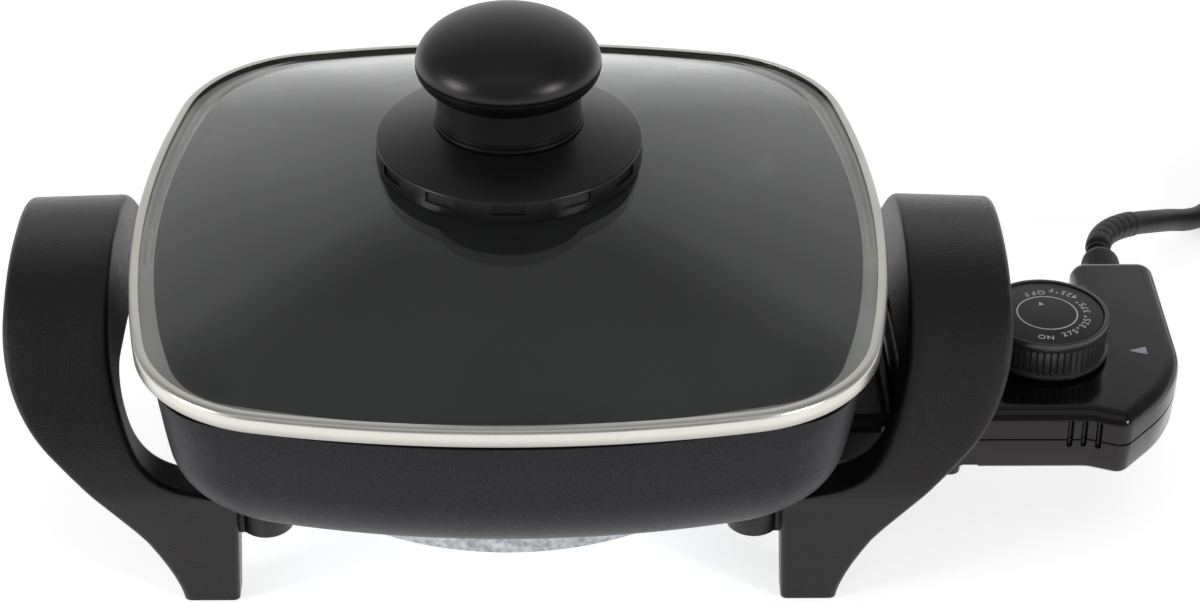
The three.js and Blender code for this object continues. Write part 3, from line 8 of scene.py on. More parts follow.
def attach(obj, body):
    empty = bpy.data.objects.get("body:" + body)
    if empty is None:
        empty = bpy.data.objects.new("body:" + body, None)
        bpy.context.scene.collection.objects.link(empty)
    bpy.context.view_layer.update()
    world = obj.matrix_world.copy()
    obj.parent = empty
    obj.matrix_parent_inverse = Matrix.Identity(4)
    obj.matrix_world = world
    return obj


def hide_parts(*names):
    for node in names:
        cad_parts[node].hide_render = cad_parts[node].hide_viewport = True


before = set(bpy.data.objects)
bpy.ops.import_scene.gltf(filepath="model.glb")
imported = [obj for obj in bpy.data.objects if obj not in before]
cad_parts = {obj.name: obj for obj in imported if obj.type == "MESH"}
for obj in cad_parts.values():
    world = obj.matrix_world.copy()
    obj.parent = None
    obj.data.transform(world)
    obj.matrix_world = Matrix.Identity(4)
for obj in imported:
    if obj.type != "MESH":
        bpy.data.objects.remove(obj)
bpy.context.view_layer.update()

# Lengths are in millimetres, as in the CAD source: X from the pan's middle, Z from the floor.
# GAP is left between pieces that sit on each other
RIM_Z = 87
GAP = 0.3
GRIP_X = 140.2
CASE_RIGHT = 195.4
SHIFT_X = (GRIP_X - CASE_RIGHT) / 2
PROBE_Z = 32.5
PIN_Y = 18.5
CORD_R = 3.75
DIAL_X = 155.5
PLATE_R, LUG_R, LUG_GAP = 75.5, 7.5, 1.2
POST_Y = 49
POST_X = sqrt((PLATE_R + LUG_R + LUG_GAP) ** 2 - POST_Y ** 2)


def mm(p):
    """A place in the frame, in metres and with the whole part in the middle."""
    return Vector(((p[0] + SHIFT_X) / 1000, p[1] / 1000, p[2] / 1000))


def new_object(name, data):
    obj = bpy.data.objects.new(name, data)
    bpy.context.collection.objects.link(obj)
    return obj


# Camera, at the photograph's place and angle
SENSOR_WIDTH, FOCAL_PIXELS, PHOTO_PIXELS = 36, 3073, 1200
camera = new_object("camera", bpy.data.cameras.new("camera"))
bpy.context.scene.camera = camera
camera.data.sensor_width = SENSOR_WIDTH
camera.data.lens = SENSOR_WIDTH * FOCAL_PIXELS / PHOTO_PIXELS
camera.data.clip_end = 50
camera.location = mm((11.2, -746, 456 + RIM_Z))
aim = Vector((0.0164, 0.8413, -0.5402)).normalized().to_track_quat("-Z", "Y")
roll = Matrix.Rotation(radians(0.485), 3, "Z")
camera.rotation_mode = "QUATERNION"
camera.rotation_quaternion = aim @ roll.to_quaternion()


# Outlines and lines

LEAST_BEND = 1e-3
SIDE_STEPS, CORNER_STEPS = 22, 18


def corners(points):
    """Each point with the directions in and out of it."""
    pts = [Vector(p) for p in points]
    nexts = pts[1:] + pts[:1]
    return [(p, (p - pts[i - 1]).normalized(), (q - p).normalized())
            for i, (p, q) in enumerate(zip(pts, nexts))]


def rounded(points, radii, steps=6):
    """The outline with rounded corners, by one radius or one for each."""
    out = []
    for i, (p, before, after) in enumerate(corners(points)):
        r = radii[i] if isinstance(radii, list) else radii
        bend = atan2(before.x * after.y - before.y * after.x, before.dot(after))
        if r <= 0 or abs(bend) < LEAST_BEND:
            out.append(p)
            continue
        start = p - before * r * tan(abs(bend) / 2)
        centre = start + Vector((-before.y, before.x)) * copysign(r, bend)
        for k in range(steps + 1):
            out.append(centre + Matrix.Rotation(bend * k / steps, 2) @ (start - centre))
    return out


def inset_by(points, inset):
    out = []
    for p, before, after in corners(points):
        mitre = Vector((-before.y, before.x)) + Vector((-after.y, after.x))
        out.append(p + mitre * (2 * inset / mitre.length_squared))
    return out


def bowed_square(half, side_r, corner_r):
    """Square whose sides and corners are arcs that run smoothly into each other."""
    side_c = half - side_r
    reach = side_r - corner_r
    corner = (side_c + sqrt(2 * reach ** 2 - side_c ** 2)) / 2
    turn = atan2(corner, corner - side_c)
    points = [polar(side_r, turn * (2 * i / SIDE_STEPS - 1), side_c) for i in range(SIDE_STEPS)]
    points += [polar(corner_r, turn + (pi / 2 - 2 * turn) * i / CORNER_STEPS, corner, corner)
               for i in range(CORNER_STEPS)]
    return [Matrix.Rotation(k * pi / 2, 2) @ Vector(p) for k in range(4) for p in points]


def polar(r, a, x=0.0, y=0.0):
    return x + r * cos(a), y + r * sin(a)


def quarter(steps):
    """Angles at even steps over a quarter turn."""
    return [pi / 2 * k / steps for k in range(steps + 1)]


def ring(outline, z):
    return [(p[0], p[1], z) for p in outline]


def circle(r, n, x=0.0, y=0.0):
    return [polar(r, 2 * pi * i / n, x, y) for i in range(n)]


def smoothstep(x, a, b):
    t = min(max((x - a) / (b - a), 0), 1)
    return t * t * (3 - 2 * t)


def hermite(t, start, start_slope, end, end_slope):
    return ((2 * t**3 - 3 * t**2 + 1) * start + (t**3 - 2 * t**2 + t) * start_slope
            + (3 * t**2 - 2 * t**3) * end + (t**3 - t**2) * end_slope)


def reaches(line):
    """Length of the line up to each of its points."""
    out = [0]
    for a, b in zip(line, line[1:]):
        out.append(out[-1] + (b - a).length)
    return out


def centripetal(points, per=24):
    """The same curve through the points as the CAD source draws."""
    pts = [Vector(p) for p in points]
    pts = [2 * pts[0] - pts[1]] + pts + [2 * pts[-1] - pts[-2]]
    out = []
    for i in range(1, len(pts) - 2):
        p0, p1, p2, p3 = pts[i - 1:i + 3]
        spans = ((p0, p1), (p1, p2), (p2, p3))
        t0, t1, t2 = [max((b - a).length ** 0.5, 1e-6) for a, b in spans]
        m1 = ((p1 - p0) / t0 - (p2 - p0) / (t0 + t1) + (p2 - p1) / t1) * t1
        m2 = ((p2 - p1) / t1 - (p3 - p1) / (t1 + t2) + (p3 - p2) / t2) * t1
        out += [hermite(k / per, p1, m1, p2, m2) for k in range(per)]
    out.append(pts[-2])
    return out


def even(line, start, count):
    """Points at even steps along a line, from start to its end."""
    reach = reaches(line)
    out = []
    k = 0
    for i in range(count):
        s = start + (reach[-1] - start) * i / (count - 1)
        while k < len(reach) - 2 and reach[k + 1] < s:
            k += 1
        f = (s - reach[k]) / max(reach[k + 1] - reach[k], 1e-9)
        out.append(line[k].lerp(line[k + 1], f))
    return out


# Solids, each as its points and faces

ON_AXIS = 1e-6


def raised(profile, z):
    return [(r, z + h) for r, h in profile]


def band(i, k, n):
    """Faces between ring i and ring k, of n points each."""
    nexts = [(j + 1) % n for j in range(n)]
    return [(i * n + j, i * n + q, k * n + q, k * n + j) for j, q in enumerate(nexts)]


def loft(rings, loop=False):
    """Skin over the rings, closed in a loop or capped at both ends."""
    n, count = len(rings[0]), len(rings)
    verts = [v for r in rings for v in r]
    faces = []
    for i in range(count if loop else count - 1):
        faces += band(i, (i + 1) % count, n)
    if not loop:
        faces.append(tuple(reversed(range(n))))
        faces.append(tuple((count - 1) * n + j for j in range(n)))
    return verts, faces


def lathe(profile, n=96, x=0.0, y=0.0):
    """A closed profile of radii and levels, turned about an upright axis."""
    verts, faces = [], []
    for i, (r, z) in enumerate(profile):
        k = (i + 1) % len(profile)
        verts += ring(circle(r, n, x, y), z)
        if max(r, profile[k][0]) >= ON_AXIS:
            faces += band(i, k, n)
    return verts, faces


def tube(inner, outer, low, high, n, x=0.0, y=0.0):
    return lathe(rect(inner, outer, low, high), n, x, y)


def round_tube(inner, outer, low, high, radii, steps, n, x=0.0):
    return lathe(rounded(rect(inner, outer, low, high), radii, steps), n, x)


def prism(outline, low, high, round_by=0.0, steps=3):
    """Upright block, its lower and upper edges rounded by round_by."""
    if round_by <= 0:
        return loft([ring(outline, low), ring(outline, high)])
    arcs = [(round_by * (1 - sin(a)), round_by * (1 - cos(a))) for a in quarter(steps)]
    lower = [ring(inset_by(outline, inset), low + rise) for inset, rise in arcs]
    return loft(lower + [ring(inset_by(outline, inset), high - drop) for drop, inset in arcs])


def rect(left, right, low, high):
    return [(left, low), (right, low), (right, high), (left, high)]


def box(lo, hi):
    return prism(rect(lo[0], hi[0], lo[1], hi[1]), lo[2], hi[2])


def sweep(line, section):
    rings = []
    for i, c in enumerate(line):
        t = (line[min(i + 1, len(line) - 1)] - line[max(i - 1, 0)]).normalized()
        side = t.cross(Vector((0, 0, 1))).normalized()
        rings.append([tuple(c + side * a + Vector((0, 0, b))) for a, b in section])
    return loft(rings)


def tube_along(line, profile, n=40):
    """A tube along the line, by a profile of reaches and radii."""
    reach = reaches(line)
    rings = []
    side = (line[1] - line[0]).normalized().cross(Vector((0, 0, 1)))
    for s, r in profile:
        k = max(i for i, v in enumerate(reach[:-1]) if v <= s + 1e-9)
        f = (s - reach[k]) / (reach[k + 1] - reach[k])
        c = line[k].lerp(line[k + 1], f)
        t = (line[min(k + 2, len(line) - 1)] - line[max(k - 1, 0)]).normalized()
        across = (side - t * side.dot(t)).normalized()
        up = across.cross(t)
        angles = [2 * pi * j / n for j in range(n)]
        rings.append([tuple(c + up * r * cos(a) + across * r * sin(a)) for a in angles])
    return loft(rings)


def moved(part, fn):
    return [fn(v) for v in part[0]], part[1]


def along_x(part, y=0.0):
    """An upright part laid along X, at the probe's level."""
    return moved(part, lambda v: (v[2], y + v[0], PROBE_Z + v[1]))


def along_y(part, x, y, z):
    """An upright part laid along Y."""
    return moved(part, lambda v: (x + v[1], y + v[2], z + v[0]))


# Pieces

def mesh_of(name, parts):
    verts, faces = [], []
    for v, f in parts:
        start = len(verts)
        verts += [mm(p) for p in v]
        faces += [tuple(i + start for i in face) for face in f]
    data = bpy.data.meshes.new(name)
    data.from_pydata(verts, [], faces)
    bm = bmesh.new()
    bm.from_mesh(data)
    bmesh.ops.remove_doubles(bm, verts=bm.verts, dist=1e-7)
    bmesh.ops.dissolve_degenerate(bm, edges=bm.edges, dist=1e-8)
    bmesh.ops.recalc_face_normals(bm, faces=bm.faces)
    bm.to_mesh(data)
    bm.free()
    return new_object(name, data)


def baked_mesh(obj):
    return bpy.data.meshes.new_from_object(obj.evaluated_get(bpy.context.evaluated_depsgraph_get()))


def cut(obj, parts, operation="DIFFERENCE"):
    """Each part is taken from the piece, or joined to it."""
    for part in parts:
        tool = mesh_of("tool", [part])
        mod = obj.modifiers.new("cut", "BOOLEAN")
        mod.object = tool
        mod.operation = operation
        mod.solver = "EXACT"
        made = baked_mesh(obj)
        obj.modifiers.remove(mod)
        obj.data = made
        bpy.data.objects.remove(tool)
    return obj


def dress(obj, finish, body, nodes=(), smooth=32):
    data = obj.data
    data.materials.clear()
    data.materials.append(finish)
    for polygon in data.polygons:
        polygon.use_smooth = True
    data.set_sharp_from_angle(angle=radians(smooth))
    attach(obj, body)
    if nodes:
        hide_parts(*nodes)
    return obj


def piece(name, parts, finish, body, nodes=(), cuts=(), smooth=32):
    return dress(cut(mesh_of(name, parts), cuts), finish, body, nodes, smooth)


# Shader nodes, for a material or the world

def shader(mat):
    return mat.node_tree.nodes["Principled BSDF"]


def rgba(color):
    """A colour with its alpha, from three values or one."""
    return (*color, 1) if isinstance(color, tuple) else (color, color, color, 1)


def node(owner, kind, **values):
    made = owner.node_tree.nodes.new(kind)
    for key, value in values.items():
        if key in made.inputs:
            made.inputs[key].default_value = value
        else:
            setattr(made, key, value)
    return made


def link(owner, source, out, target, into):
    owner.node_tree.links.new(source.outputs[out], target.inputs[into])


def maths(owner, operation, *values, clamp=False):
    """Math node on numbers, or on nodes with the names of their outputs."""
    made = node(owner, "ShaderNodeMath", operation=operation, use_clamp=clamp)
    for i, value in enumerate(values):
        if isinstance(value, tuple):
            link(owner, *value, made, i)
        else:
            made.inputs[i].default_value = value
    return made, "Value"


def color_ramp(owner, source, out, stops):
    """Ramp over an output, with stops of a place and a colour."""
    made = node(owner, "ShaderNodeValToRGB")
    line = made.color_ramp
    line.elements[0].position, line.elements[1].position = stops[0][0], stops[-1][0]
    line.elements[0].color, line.elements[1].color = rgba(stops[0][1]), rgba(stops[-1][1])
    for place, color in stops[1:-1]:
        line.elements.new(place).color = rgba(color)
    link(owner, source, out, made, "Fac")
    return made, "Color"


def ramp(mat, source, stops, into, out="Fac"):
    link(mat, *color_ramp(mat, source, out, stops), shader(mat), into)


def coords(mat, stretch=(1, 1, 1)):
    place = node(mat, "ShaderNodeTexCoord")
    scale = node(mat, "ShaderNodeMapping", Scale=stretch)
    link(mat, place, "Object", scale, "Vector")
    return scale


def noise(mat, source, scale, detail=4.0, rough=0.55):
    made = node(mat, "ShaderNodeTexNoise", Scale=scale, Detail=detail, Roughness=rough)
    link(mat, source, "Vector", made, "Vector")
    return made


def bump(mat, source, strength, distance):
    made = node(mat, "ShaderNodeBump", Strength=strength, Distance=distance)
    link(mat, source, "Fac", made, "Height")
    link(mat, made, "Normal", shader(mat), "Normal")


# Materials

def material(name, color, roughness, metallic=0.0, **sockets):
    mat = bpy.data.materials.new(name)
    mat.use_nodes = True
    inputs = shader(mat).inputs
    inputs["Base Color"].default_value = rgba(color)
    inputs["Roughness"].default_value = roughness
    inputs["Metallic"].default_value = metallic
    for key, value in sockets.items():
        inputs[key.replace("_", " ")].default_value = value
    return mat


def clouded(mat, scale, low, high, detail=4.0):
    ramp(mat, noise(mat, coords(mat), scale, detail), [(0.3, low), (0.7, high)], "Base Color")


def plastic(name, base, rough, grain, strength, specular=0.2):
    """Plastic with fine grain, and with broad blotches in its gloss."""
    mat = material(name, (base, base, base * 1.04), rough,
                   Specular_IOR_Level=specular, Specular_Tint=(1, 0.945, 0.985, 1))
    at = coords(mat)
    fine = noise(mat, at, grain, 3, 0.6)
    broad = noise(mat, at, 22, 3)
    dark, light = base * (1 - strength * 0.8), base * (1 + strength * 1.6)
    ramp(mat, fine, [(0.38, dark), (0.64, (light, light, light * 1.05))], "Base Color")
    ramp(mat, broad, [(0.3, rough - 0.04), (0.7, rough + 0.05)], "Roughness")
    bump(mat, fine, strength, distance=0.0004)
    return mat


def bright_metal(name, color, rough, streak=(1, 1, 1), scale=90):
    """Metal with fine lines in its gloss, drawn out along one axis by streak."""
    mat = material(name, color, rough, 1)
    lines = noise(mat, coords(mat, streak), scale, 5, 0.6)
    ramp(mat, lines, [(0.35, rough - 0.05), (0.65, rough + 0.06)], "Roughness")
    bump(mat, lines, 0.04, 0.0001)
    return mat


bakelite = plastic("bakelite", base=0.005, rough=0.29, grain=2300, strength=0.55, specular=0.41)
knob_black = plastic("knob_black", base=0.0075, rough=0.32, grain=2300, strength=0.08, specular=0.4)
# A darker, less glossy copy of the knob's black: painted shade for the knob's stem under its cap
# and for the terminal guard in its shadow
shade_black = plastic("shade_black", base=0.0035, rough=0.36, grain=2300, strength=0.08, specular=0.2)

gloss_black = material("gloss_black", (0.004, 0.0036, 0.0045), 0.16,
                       Specular_IOR_Level=0.41, Specular_Tint=(1, 0.94, 0.97, 1))
gloss_at = coords(gloss_black)
ramp(gloss_black, noise(gloss_black, gloss_at, 60), [(0.35, 0.13), (0.7, 0.2)], "Roughness")
bump(gloss_black, noise(gloss_black, gloss_at, 160, 2), 0.02, 0.0002)

coating = material("nonstick_coating", (0.02, 0.019, 0.025), 0.5, 0.25, Specular_IOR_Level=0.34)
speck = noise(coating, coords(coating), 3300, 2, 0.7)
ramp(coating, speck, [(0.42, (0.004, 0.004, 0.006)), (0.56, (0.01, 0.0095, 0.014)),
                      (0.72, (0.048, 0.045, 0.058))], "Base Color")
ramp(coating, speck, [(0.4, 0.5), (0.7, 0.38)], "Roughness")
bump(coating, speck, 0.22, 0.00015)

cast = material("cast_aluminium", (0.55, 0.57, 0.6), 0.5, 0.85)
cast_at = coords(cast)
mottle = noise(cast, cast_at, 420, 5, 0.65)
ramp(cast, mottle, [(0.35, (0.34, 0.36, 0.39)), (0.6, (0.62, 0.65, 0.68)),
                    (0.8, (0.78, 0.8, 0.83))], "Base Color")
ramp(cast, noise(cast, cast_at, 120, 4), [(0.3, 0.42), (0.7, 0.62)], "Roughness")
bump(cast, mottle, 0.35, 0.0003)

# The rim is painted darker below the pan's rim: painted shade on its lip, which lies inside the pan
# and is seen through the glass
RIM_COLOR, LIP_SHADE_COLOR = (0.7, 0.685, 0.63), (0.2, 0.195, 0.18)
rim_steel = bright_metal("rim_steel", RIM_COLOR, 0.32, (1, 1, 14), 60)
lip_shade_height = node(rim_steel, "ShaderNodeSeparateXYZ")
link(rim_steel, coords(rim_steel), "Vector", lip_shade_height, "Vector")
ramp(rim_steel, lip_shade_height, [((RIM_Z + 0.1) / 1000, LIP_SHADE_COLOR), ((RIM_Z + 0.5) / 1000, RIM_COLOR)],
     "Base Color", out="Z")
steel = bright_metal("plain_steel", (0.66, 0.65, 0.63), 0.28)
brass = bright_metal("brass", (0.74, 0.58, 0.3), 0.3)


def steel_piece(name, part, body, replaced):
    piece(name, [part], steel, body, [replaced])


rubber = plastic("cord_rubber", base=0.014, rough=0.46, grain=900, strength=0.12)
silicone = plastic("silicone", base=0.3, rough=0.6, grain=700, strength=0.1)
print_white = material("print_white", (0.78, 0.78, 0.78), 0.5)
clouded(print_white, 1500, 0.66, 0.82)
lens_clear = material("lens", (0.62, 0.68, 0.8), 0.22, Transmission_Weight=0.35)
clouded(lens_clear, 500, (0.52, 0.58, 0.7), (0.72, 0.78, 0.9))

# Lid glass: clear and smooth, with a little grey in its thickness
GLASS_COLOR = (0.86, 0.88, 0.87)
glass = material("lid_glass", GLASS_COLOR, 0.015, Transmission_Weight=0.988, IOR=1.38)
clouded(glass, 14, (0.8, 0.82, 0.81), GLASS_COLOR, 2)

# The cord's route, as reaches to the right and rear of its exit and shares of the exit's height
ARM_REAR = 49.9
EXIT_X, EXIT_Z = 182.4, 37
REACHES = [
    (0, -4, 1), (0, 8.1, 1), (0.2, 17.1, 1), (1, 22.8, 0.997), (2.7, 28.6, 0.97),
    (5.3, 34.7, 0.925), (9, 41, 0.865), (13.4, 47.3, 0.79), (19.4, 55.5, 0.669),
    (26.4, 65, 0.513), (35.8, 77.9, 0.296), (43.2, 86.9, 0.134), (50.8, 96.3, 0.017),
    (59.1, 106.7, 0), (67.6, 117.1, 0),
]
COIL_R, PITCH, TURNS, COIL_RISE = 45, 8.2, 2.39, 8.1
HEADING = radians(51)
COIL_STEPS = 24
CLIMB_TURNS = 0.3
TAIL_LENGTH, TAIL_STEPS = 26, 3
PLUG_W, PLUG_T = 24, 15


def coil_points():
    """Middle line of the coil: it spirals in, climbs, spirals out and runs to the plug."""
    forward = Vector((*polar(1, HEADING), 0))
    start = Vector((250, 167, CORD_R))
    first = start + forward * 2 * CORD_R
    inward = Vector((sin(HEADING), -cos(HEADING), 0))
    centre = first + inward * COIL_R
    first_a = HEADING + pi / 2
    steps = round(TURNS * COIL_STEPS)
    middle = TURNS / 2
    pts = [start]
    for i in range(steps + 1):
        turns = TURNS * i / steps
        climb = smoothstep(turns, middle - CLIMB_TURNS, middle + CLIMB_TURNS)
        a = first_a - 2 * pi * turns
        r = COIL_R - PITCH * min(turns, TURNS - turns)
        pts.append(Vector((*polar(r, a, centre.x, centre.y), CORD_R + COIL_RISE * climb)))
    last = pts[-1]
    last_a = first_a - 2 * pi * TURNS
    onward = Vector((sin(last_a), -cos(last_a), 0))
    for i in range(1, TAIL_STEPS + 1):
        p = last + onward * TAIL_LENGTH * i / TAIL_STEPS
        p.z = last.z + (PLUG_T / 2 - last.z) * smoothstep(i, 0, TAIL_STEPS)
        pts.append(p)
    pts.append(pts[-1] + onward * 2 * CORD_R)
    return pts, onward


route_line = centripetal([(EXIT_X + x, ARM_REAR + y, CORD_R + (EXIT_Z - CORD_R) * share)
                          for x, y, share in REACHES])
coil_line, plug_way = coil_points()

# Strain relief: neck, bulb, a thin ring, and a tapering sleeve of ribs
CASE_WALL, CASE_DRAFT = 2.2, 0.5
FLANGE_R, FLANGE_T = 5.6, 1.8
ENTRY_L, ENTRY_R = 4.3, 4.2
BULB_R, BULB_L, BULB_EDGE, BULB_STEPS = 5.9, 17.5, 0.5, 12
GROOVE_R, RING_R, RING_W, RING_EDGE = 3.1, 3.6, 1.4, 0.3
SLEEVE_R, RIB_L, RIB_D, RIB_GROOVE, RIBS = 4, 5.2, 0.35, 0.16, 7


def relief_profile():
    neck = ENTRY_L
    end = neck + BULB_L
    profile = [(0, ENTRY_R), (neck, ENTRY_R), (neck, BULB_R - BULB_EDGE),
               (neck + BULB_EDGE, BULB_R)]
    for k in range(BULB_STEPS):
        u = k / BULB_STEPS
        profile.append((end - BULB_R * (1 - u), BULB_R * sqrt(1 - u * u)))
    a, b = end + RING_W, end + 2 * RING_W
    profile += [(end, GROOVE_R), (a, GROOVE_R), (a, RING_R - RING_EDGE), (a + RING_EDGE, RING_R)]
    profile += [(b - RING_EDGE, RING_R), (b, RING_R - RING_EDGE), (b, GROOVE_R)]
    sleeve = end + 3 * RING_W
    for i in range(RIBS):
        u = i / (RIBS - 1)
        r = SLEEVE_R + (CORD_R + RIB_D - SLEEVE_R) * u
        a = sleeve + RIB_L * i
        profile += [
            (a, r - RIB_GROOVE), (a + 0.5, r - 0.05), (a + 1.1, r), (a + RIB_L - 1.4, r),
            (a + RIB_L - 0.8, r - 0.05), (a + RIB_L - RIB_D, r - RIB_GROOVE),
        ]
    return profile


relief = relief_profile()
RELIEF_L = relief[-1][0]
flange_y = ARM_REAR - CASE_WALL - CASE_DRAFT - GAP - FLANGE_T
flange = along_y(tube(0, FLANGE_R, 0, FLANGE_T, 48), EXIT_X, flange_y, EXIT_Z)
piece("strain_relief_moulding", [tube_along(route_line, relief), flange],
      rubber, "control", ["strain_relief"])

# Cord
free = even(route_line, RELIEF_L + GAP, count=26)
cord_line = [mm(p) for p in free[:-1] + coil_line]


curve = bpy.data.curves.new("mains_cord", "CURVE")
curve.dimensions = "3D"
spline = curve.splines.new("POLY")
spline.points.add(len(cord_line) - 1)
for point, at in zip(spline.points, cord_line):
    point.co = (*at, 1)
curve.bevel_depth = CORD_R / 1000
curve.bevel_resolution = 6
curve.use_fill_caps = True
cord = new_object("mains_cord", curve)
curve.materials.append(rubber)
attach(cord, "control")
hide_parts("power_cord", "cord_coil")

# Plug
plug_end = coil_line[-1] + plug_way * GAP
plug_turn = Matrix.Rotation(atan2(plug_way.y, plug_way.x), 3, "Z")


def at_plug(part):
    return moved(part, lambda v: tuple(plug_turn @ Vector(v) + plug_end))


def plug_ring(x, width, thick, r):
    outline = rect(-width / 2, width / 2, -thick / 2, thick / 2)
    return [(x, p.x, p.y) for p in rounded(outline, r, 6)]


# Sections of the plug: place along it, width, thickness and corner radius
NECK_W = PLUG_T * 0.72
PLUG_GROOVE = ((0, 0), (0.25, 1.1), (0.65, 1.1), (0.9, 0))
plug_sections = [(0, NECK_W - 0.8, NECK_W - 0.8, 4.6), (0.4, NECK_W, NECK_W, 5)]
for x in (1.2, 2.45, 3.7, 4.95):
    plug_sections += [(x + dx, NECK_W - s, NECK_W - s, 4.8 - s / 2) for dx, s in PLUG_GROOVE]
plug_sections += [
    (6.4, NECK_W, NECK_W, 5), (9, PLUG_W * 0.62, NECK_W + 2, 5.2),
    (12, PLUG_W * 0.8, PLUG_T - 0.3, 5), (15, PLUG_W * 0.86, PLUG_T, 4.6),
    (22, PLUG_W * 0.86, PLUG_T, 4.2), (30, PLUG_W * 0.96, PLUG_T, 4), (33, PLUG_W, PLUG_T, 3.9),
    (44.6, PLUG_W, PLUG_T, 3.9), (45.6, PLUG_W - 0.6, PLUG_T - 0.6, 3.6),
    (46, PLUG_W - 1.8, PLUG_T - 1.8, 3),
]
plug = piece("plug_moulding", [at_plug(loft([plug_ring(*row) for row in plug_sections]))],
             rubber, "control", ["plug_body"])

# Blades: flat bars with a bevelled end and a hole
BLADE_Y, BLADE_HALF_T, BLADE_HALF_W = 6.35, 0.75, 3.15
BLADE_SECTIONS = ((46.3, 1), (60.8, 1), (61.8, 0.86), (62.3, 0.62))
BLADE_HOLE = tube(0, 1.5, -3, 3, 24)
SQUARE = ((-1, -1), (1, -1), (1, 1), (-1, 1))
for cad, side in (("plug_blade_left", 1), ("plug_blade_right", -1)):
    y = side * BLADE_Y
    bar = loft([[(x, y + s * BLADE_HALF_T, v * BLADE_HALF_W * width) for s, v in SQUARE]
                for x, width in BLADE_SECTIONS])
    blade = mesh_of(cad + "_pressed", [at_plug(bar)])
    cut(blade, [at_plug(along_y(BLADE_HOLE, 57.5, y, 0))])
    dress(blade, brass, "control", [cad])

# Pan: rings from the outer floor up the wall, over the stepped lip and down the inside
PAN_TOP = RIM_Z - GAP
PAN_LOW = PAN_TOP - 47.2
DRAFT_DEG = 7.6
DRAFT = tan(radians(DRAFT_DEG))
PAN_WALL, PAN_FLOOR = 2.8, 3.4
OUTER_FILLET, INNER_FILLET = 30, 27.2
UNDER_LIP = 12
REBATE, REBATE_H = 1.2, 1.8
STEP_Z = PAN_TOP - REBATE_H


def pan_outline(inset):
    return bowed_square(103.5 - inset, side_r=275 - inset, corner_r=24 + 0.25 * inset)


def well(wall_inset, floor_z, fillet, n):
    """Insets and levels from the floor up to the wall just under the lip."""
    straight = PAN_TOP - floor_z - fillet
    centre = wall_inset + fillet * sqrt(1 + DRAFT ** 2) + DRAFT * straight
    out = []
    for i in range(n + 1):
        a = radians(90 - (90 - DRAFT_DEG) * i / n)
        out.append((centre - fillet * cos(a), floor_z + fillet - fillet * sin(a)))
    out.append((wall_inset + DRAFT * UNDER_LIP, PAN_TOP - UNDER_LIP))
    return out


LIP = raised([
    (DRAFT * 2.2, -0.4), (DRAFT * 2 + 0.04, -0.15), (DRAFT * 2 + 0.14, -0.03),
    (DRAFT * 2 + 0.3, 0), (REBATE - 0.1, 0), (REBATE, 0.1)], STEP_Z)
LIP += raised([
    (REBATE, -0.25), (REBATE + 0.08, -0.07), (REBATE + 0.25, 0), (2.2, 0), (2.55, -0.15),
    (PAN_WALL, -0.55), (PAN_WALL + DRAFT * 1.4, -1.4)], PAN_TOP)
inside = well(PAN_WALL, PAN_LOW + PAN_FLOOR, INNER_FILLET, 12)
pan_rings = well(0, PAN_LOW, OUTER_FILLET, 14) + LIP + inside[::-1]
pan_parts = [loft([ring(pan_outline(inset), z) for inset, z in pan_rings])]

# Posts under the pan, for the handles' screws
POST_H = 5
SCREW_BORE = 2.15
POST_LOW = PAN_LOW - POST_H
POST_PROFILE = raised([(SCREW_BORE, 0), (4.9, 0), (5.5, 0.6)], POST_LOW)
POST_PROFILE += raised([(5.5, 0), (6.2, 1.5), (SCREW_BORE, 1.1)], PAN_LOW)
for x in (-POST_X, POST_X):
    pan_parts += [lathe(POST_PROFILE, 40, x, y) for y in (-POST_Y, POST_Y)]
piece("pan_casting", pan_parts, coating, "base", ["pan"])

# Heater casting, with the element laid in its channel and a boss for the probe
PLATE_TOP = PAN_LOW - GAP
PLATE_LOW = PLATE_TOP - 9.2
ELEMENT_R, LOOP_R, LOOP_DEG, LOOP_STEPS = 3.3, 52, 42, 14
CHANNEL_HALF, PROBE_BORE_R = 3.6, 3.5
PIN_START, PIN_R = 77.3, 2.4


def element_line():
    pts = [(77, PIN_Y, PROBE_Z), (65, PIN_Y, PROBE_Z)]
    for i in range(LOOP_STEPS + 1):
        a = radians(LOOP_DEG + (360 - 2 * LOOP_DEG) * i / LOOP_STEPS)
        pts.append((*polar(LOOP_R, a), PROBE_Z))
    pts += [(65, -PIN_Y, PROBE_Z), (77, -PIN_Y, PROBE_Z)]
    return even(centripetal(pts, 12), 0, 110)


element = element_line()
channel = sweep(element, rect(-CHANNEL_HALF, CHANNEL_HALF, -9.5, 3.2))
PLATE_PROFILE = raised(
    [(0, 0), (PLATE_R - 1.3, 0), (PLATE_R - 0.3, 0.5), (PLATE_R, 1.4)], PLATE_LOW)
PLATE_PROFILE += raised([(PLATE_R, -0.4), (PLATE_R - 0.4, 0), (0, 0)], PLATE_TOP)
heater = mesh_of("heater_plate", [lathe(PLATE_PROFILE, 160)])
boss = rounded(rect(12, 75, -7, 7), 3.5)
cut(heater, [prism(boss, PLATE_LOW - 3.6, PLATE_LOW + 1.2, 0.8)], "UNION")
bore = along_x(tube(0, PROBE_BORE_R, 17.7, 87.7, 32))
exits = [box((63.5, y - CHANNEL_HALF, PLATE_LOW - 6), (81.5, y + CHANNEL_HALF, PLATE_LOW + 1.2))
         for y in (-PIN_Y, PIN_Y)]
cut(heater, [channel, bore, *exits])
dress(heater, cast, "base", ["heater_casting"])
steel_piece("element_tube", sweep(element, circle(ELEMENT_R, 20)), "base", "heating_element")
PIN_PROFILE = [(0, PIN_START), (PIN_R, PIN_START), (PIN_R, 99.8), (PIN_R - 0.5, 101), (0, 101.3)]
for cad, y in (("terminal_pin_front", -PIN_Y), ("terminal_pin_rear", PIN_Y)):
    steel_piece(cad + "_turned", along_x(lathe(PIN_PROFILE, 32), y), "base", cad)

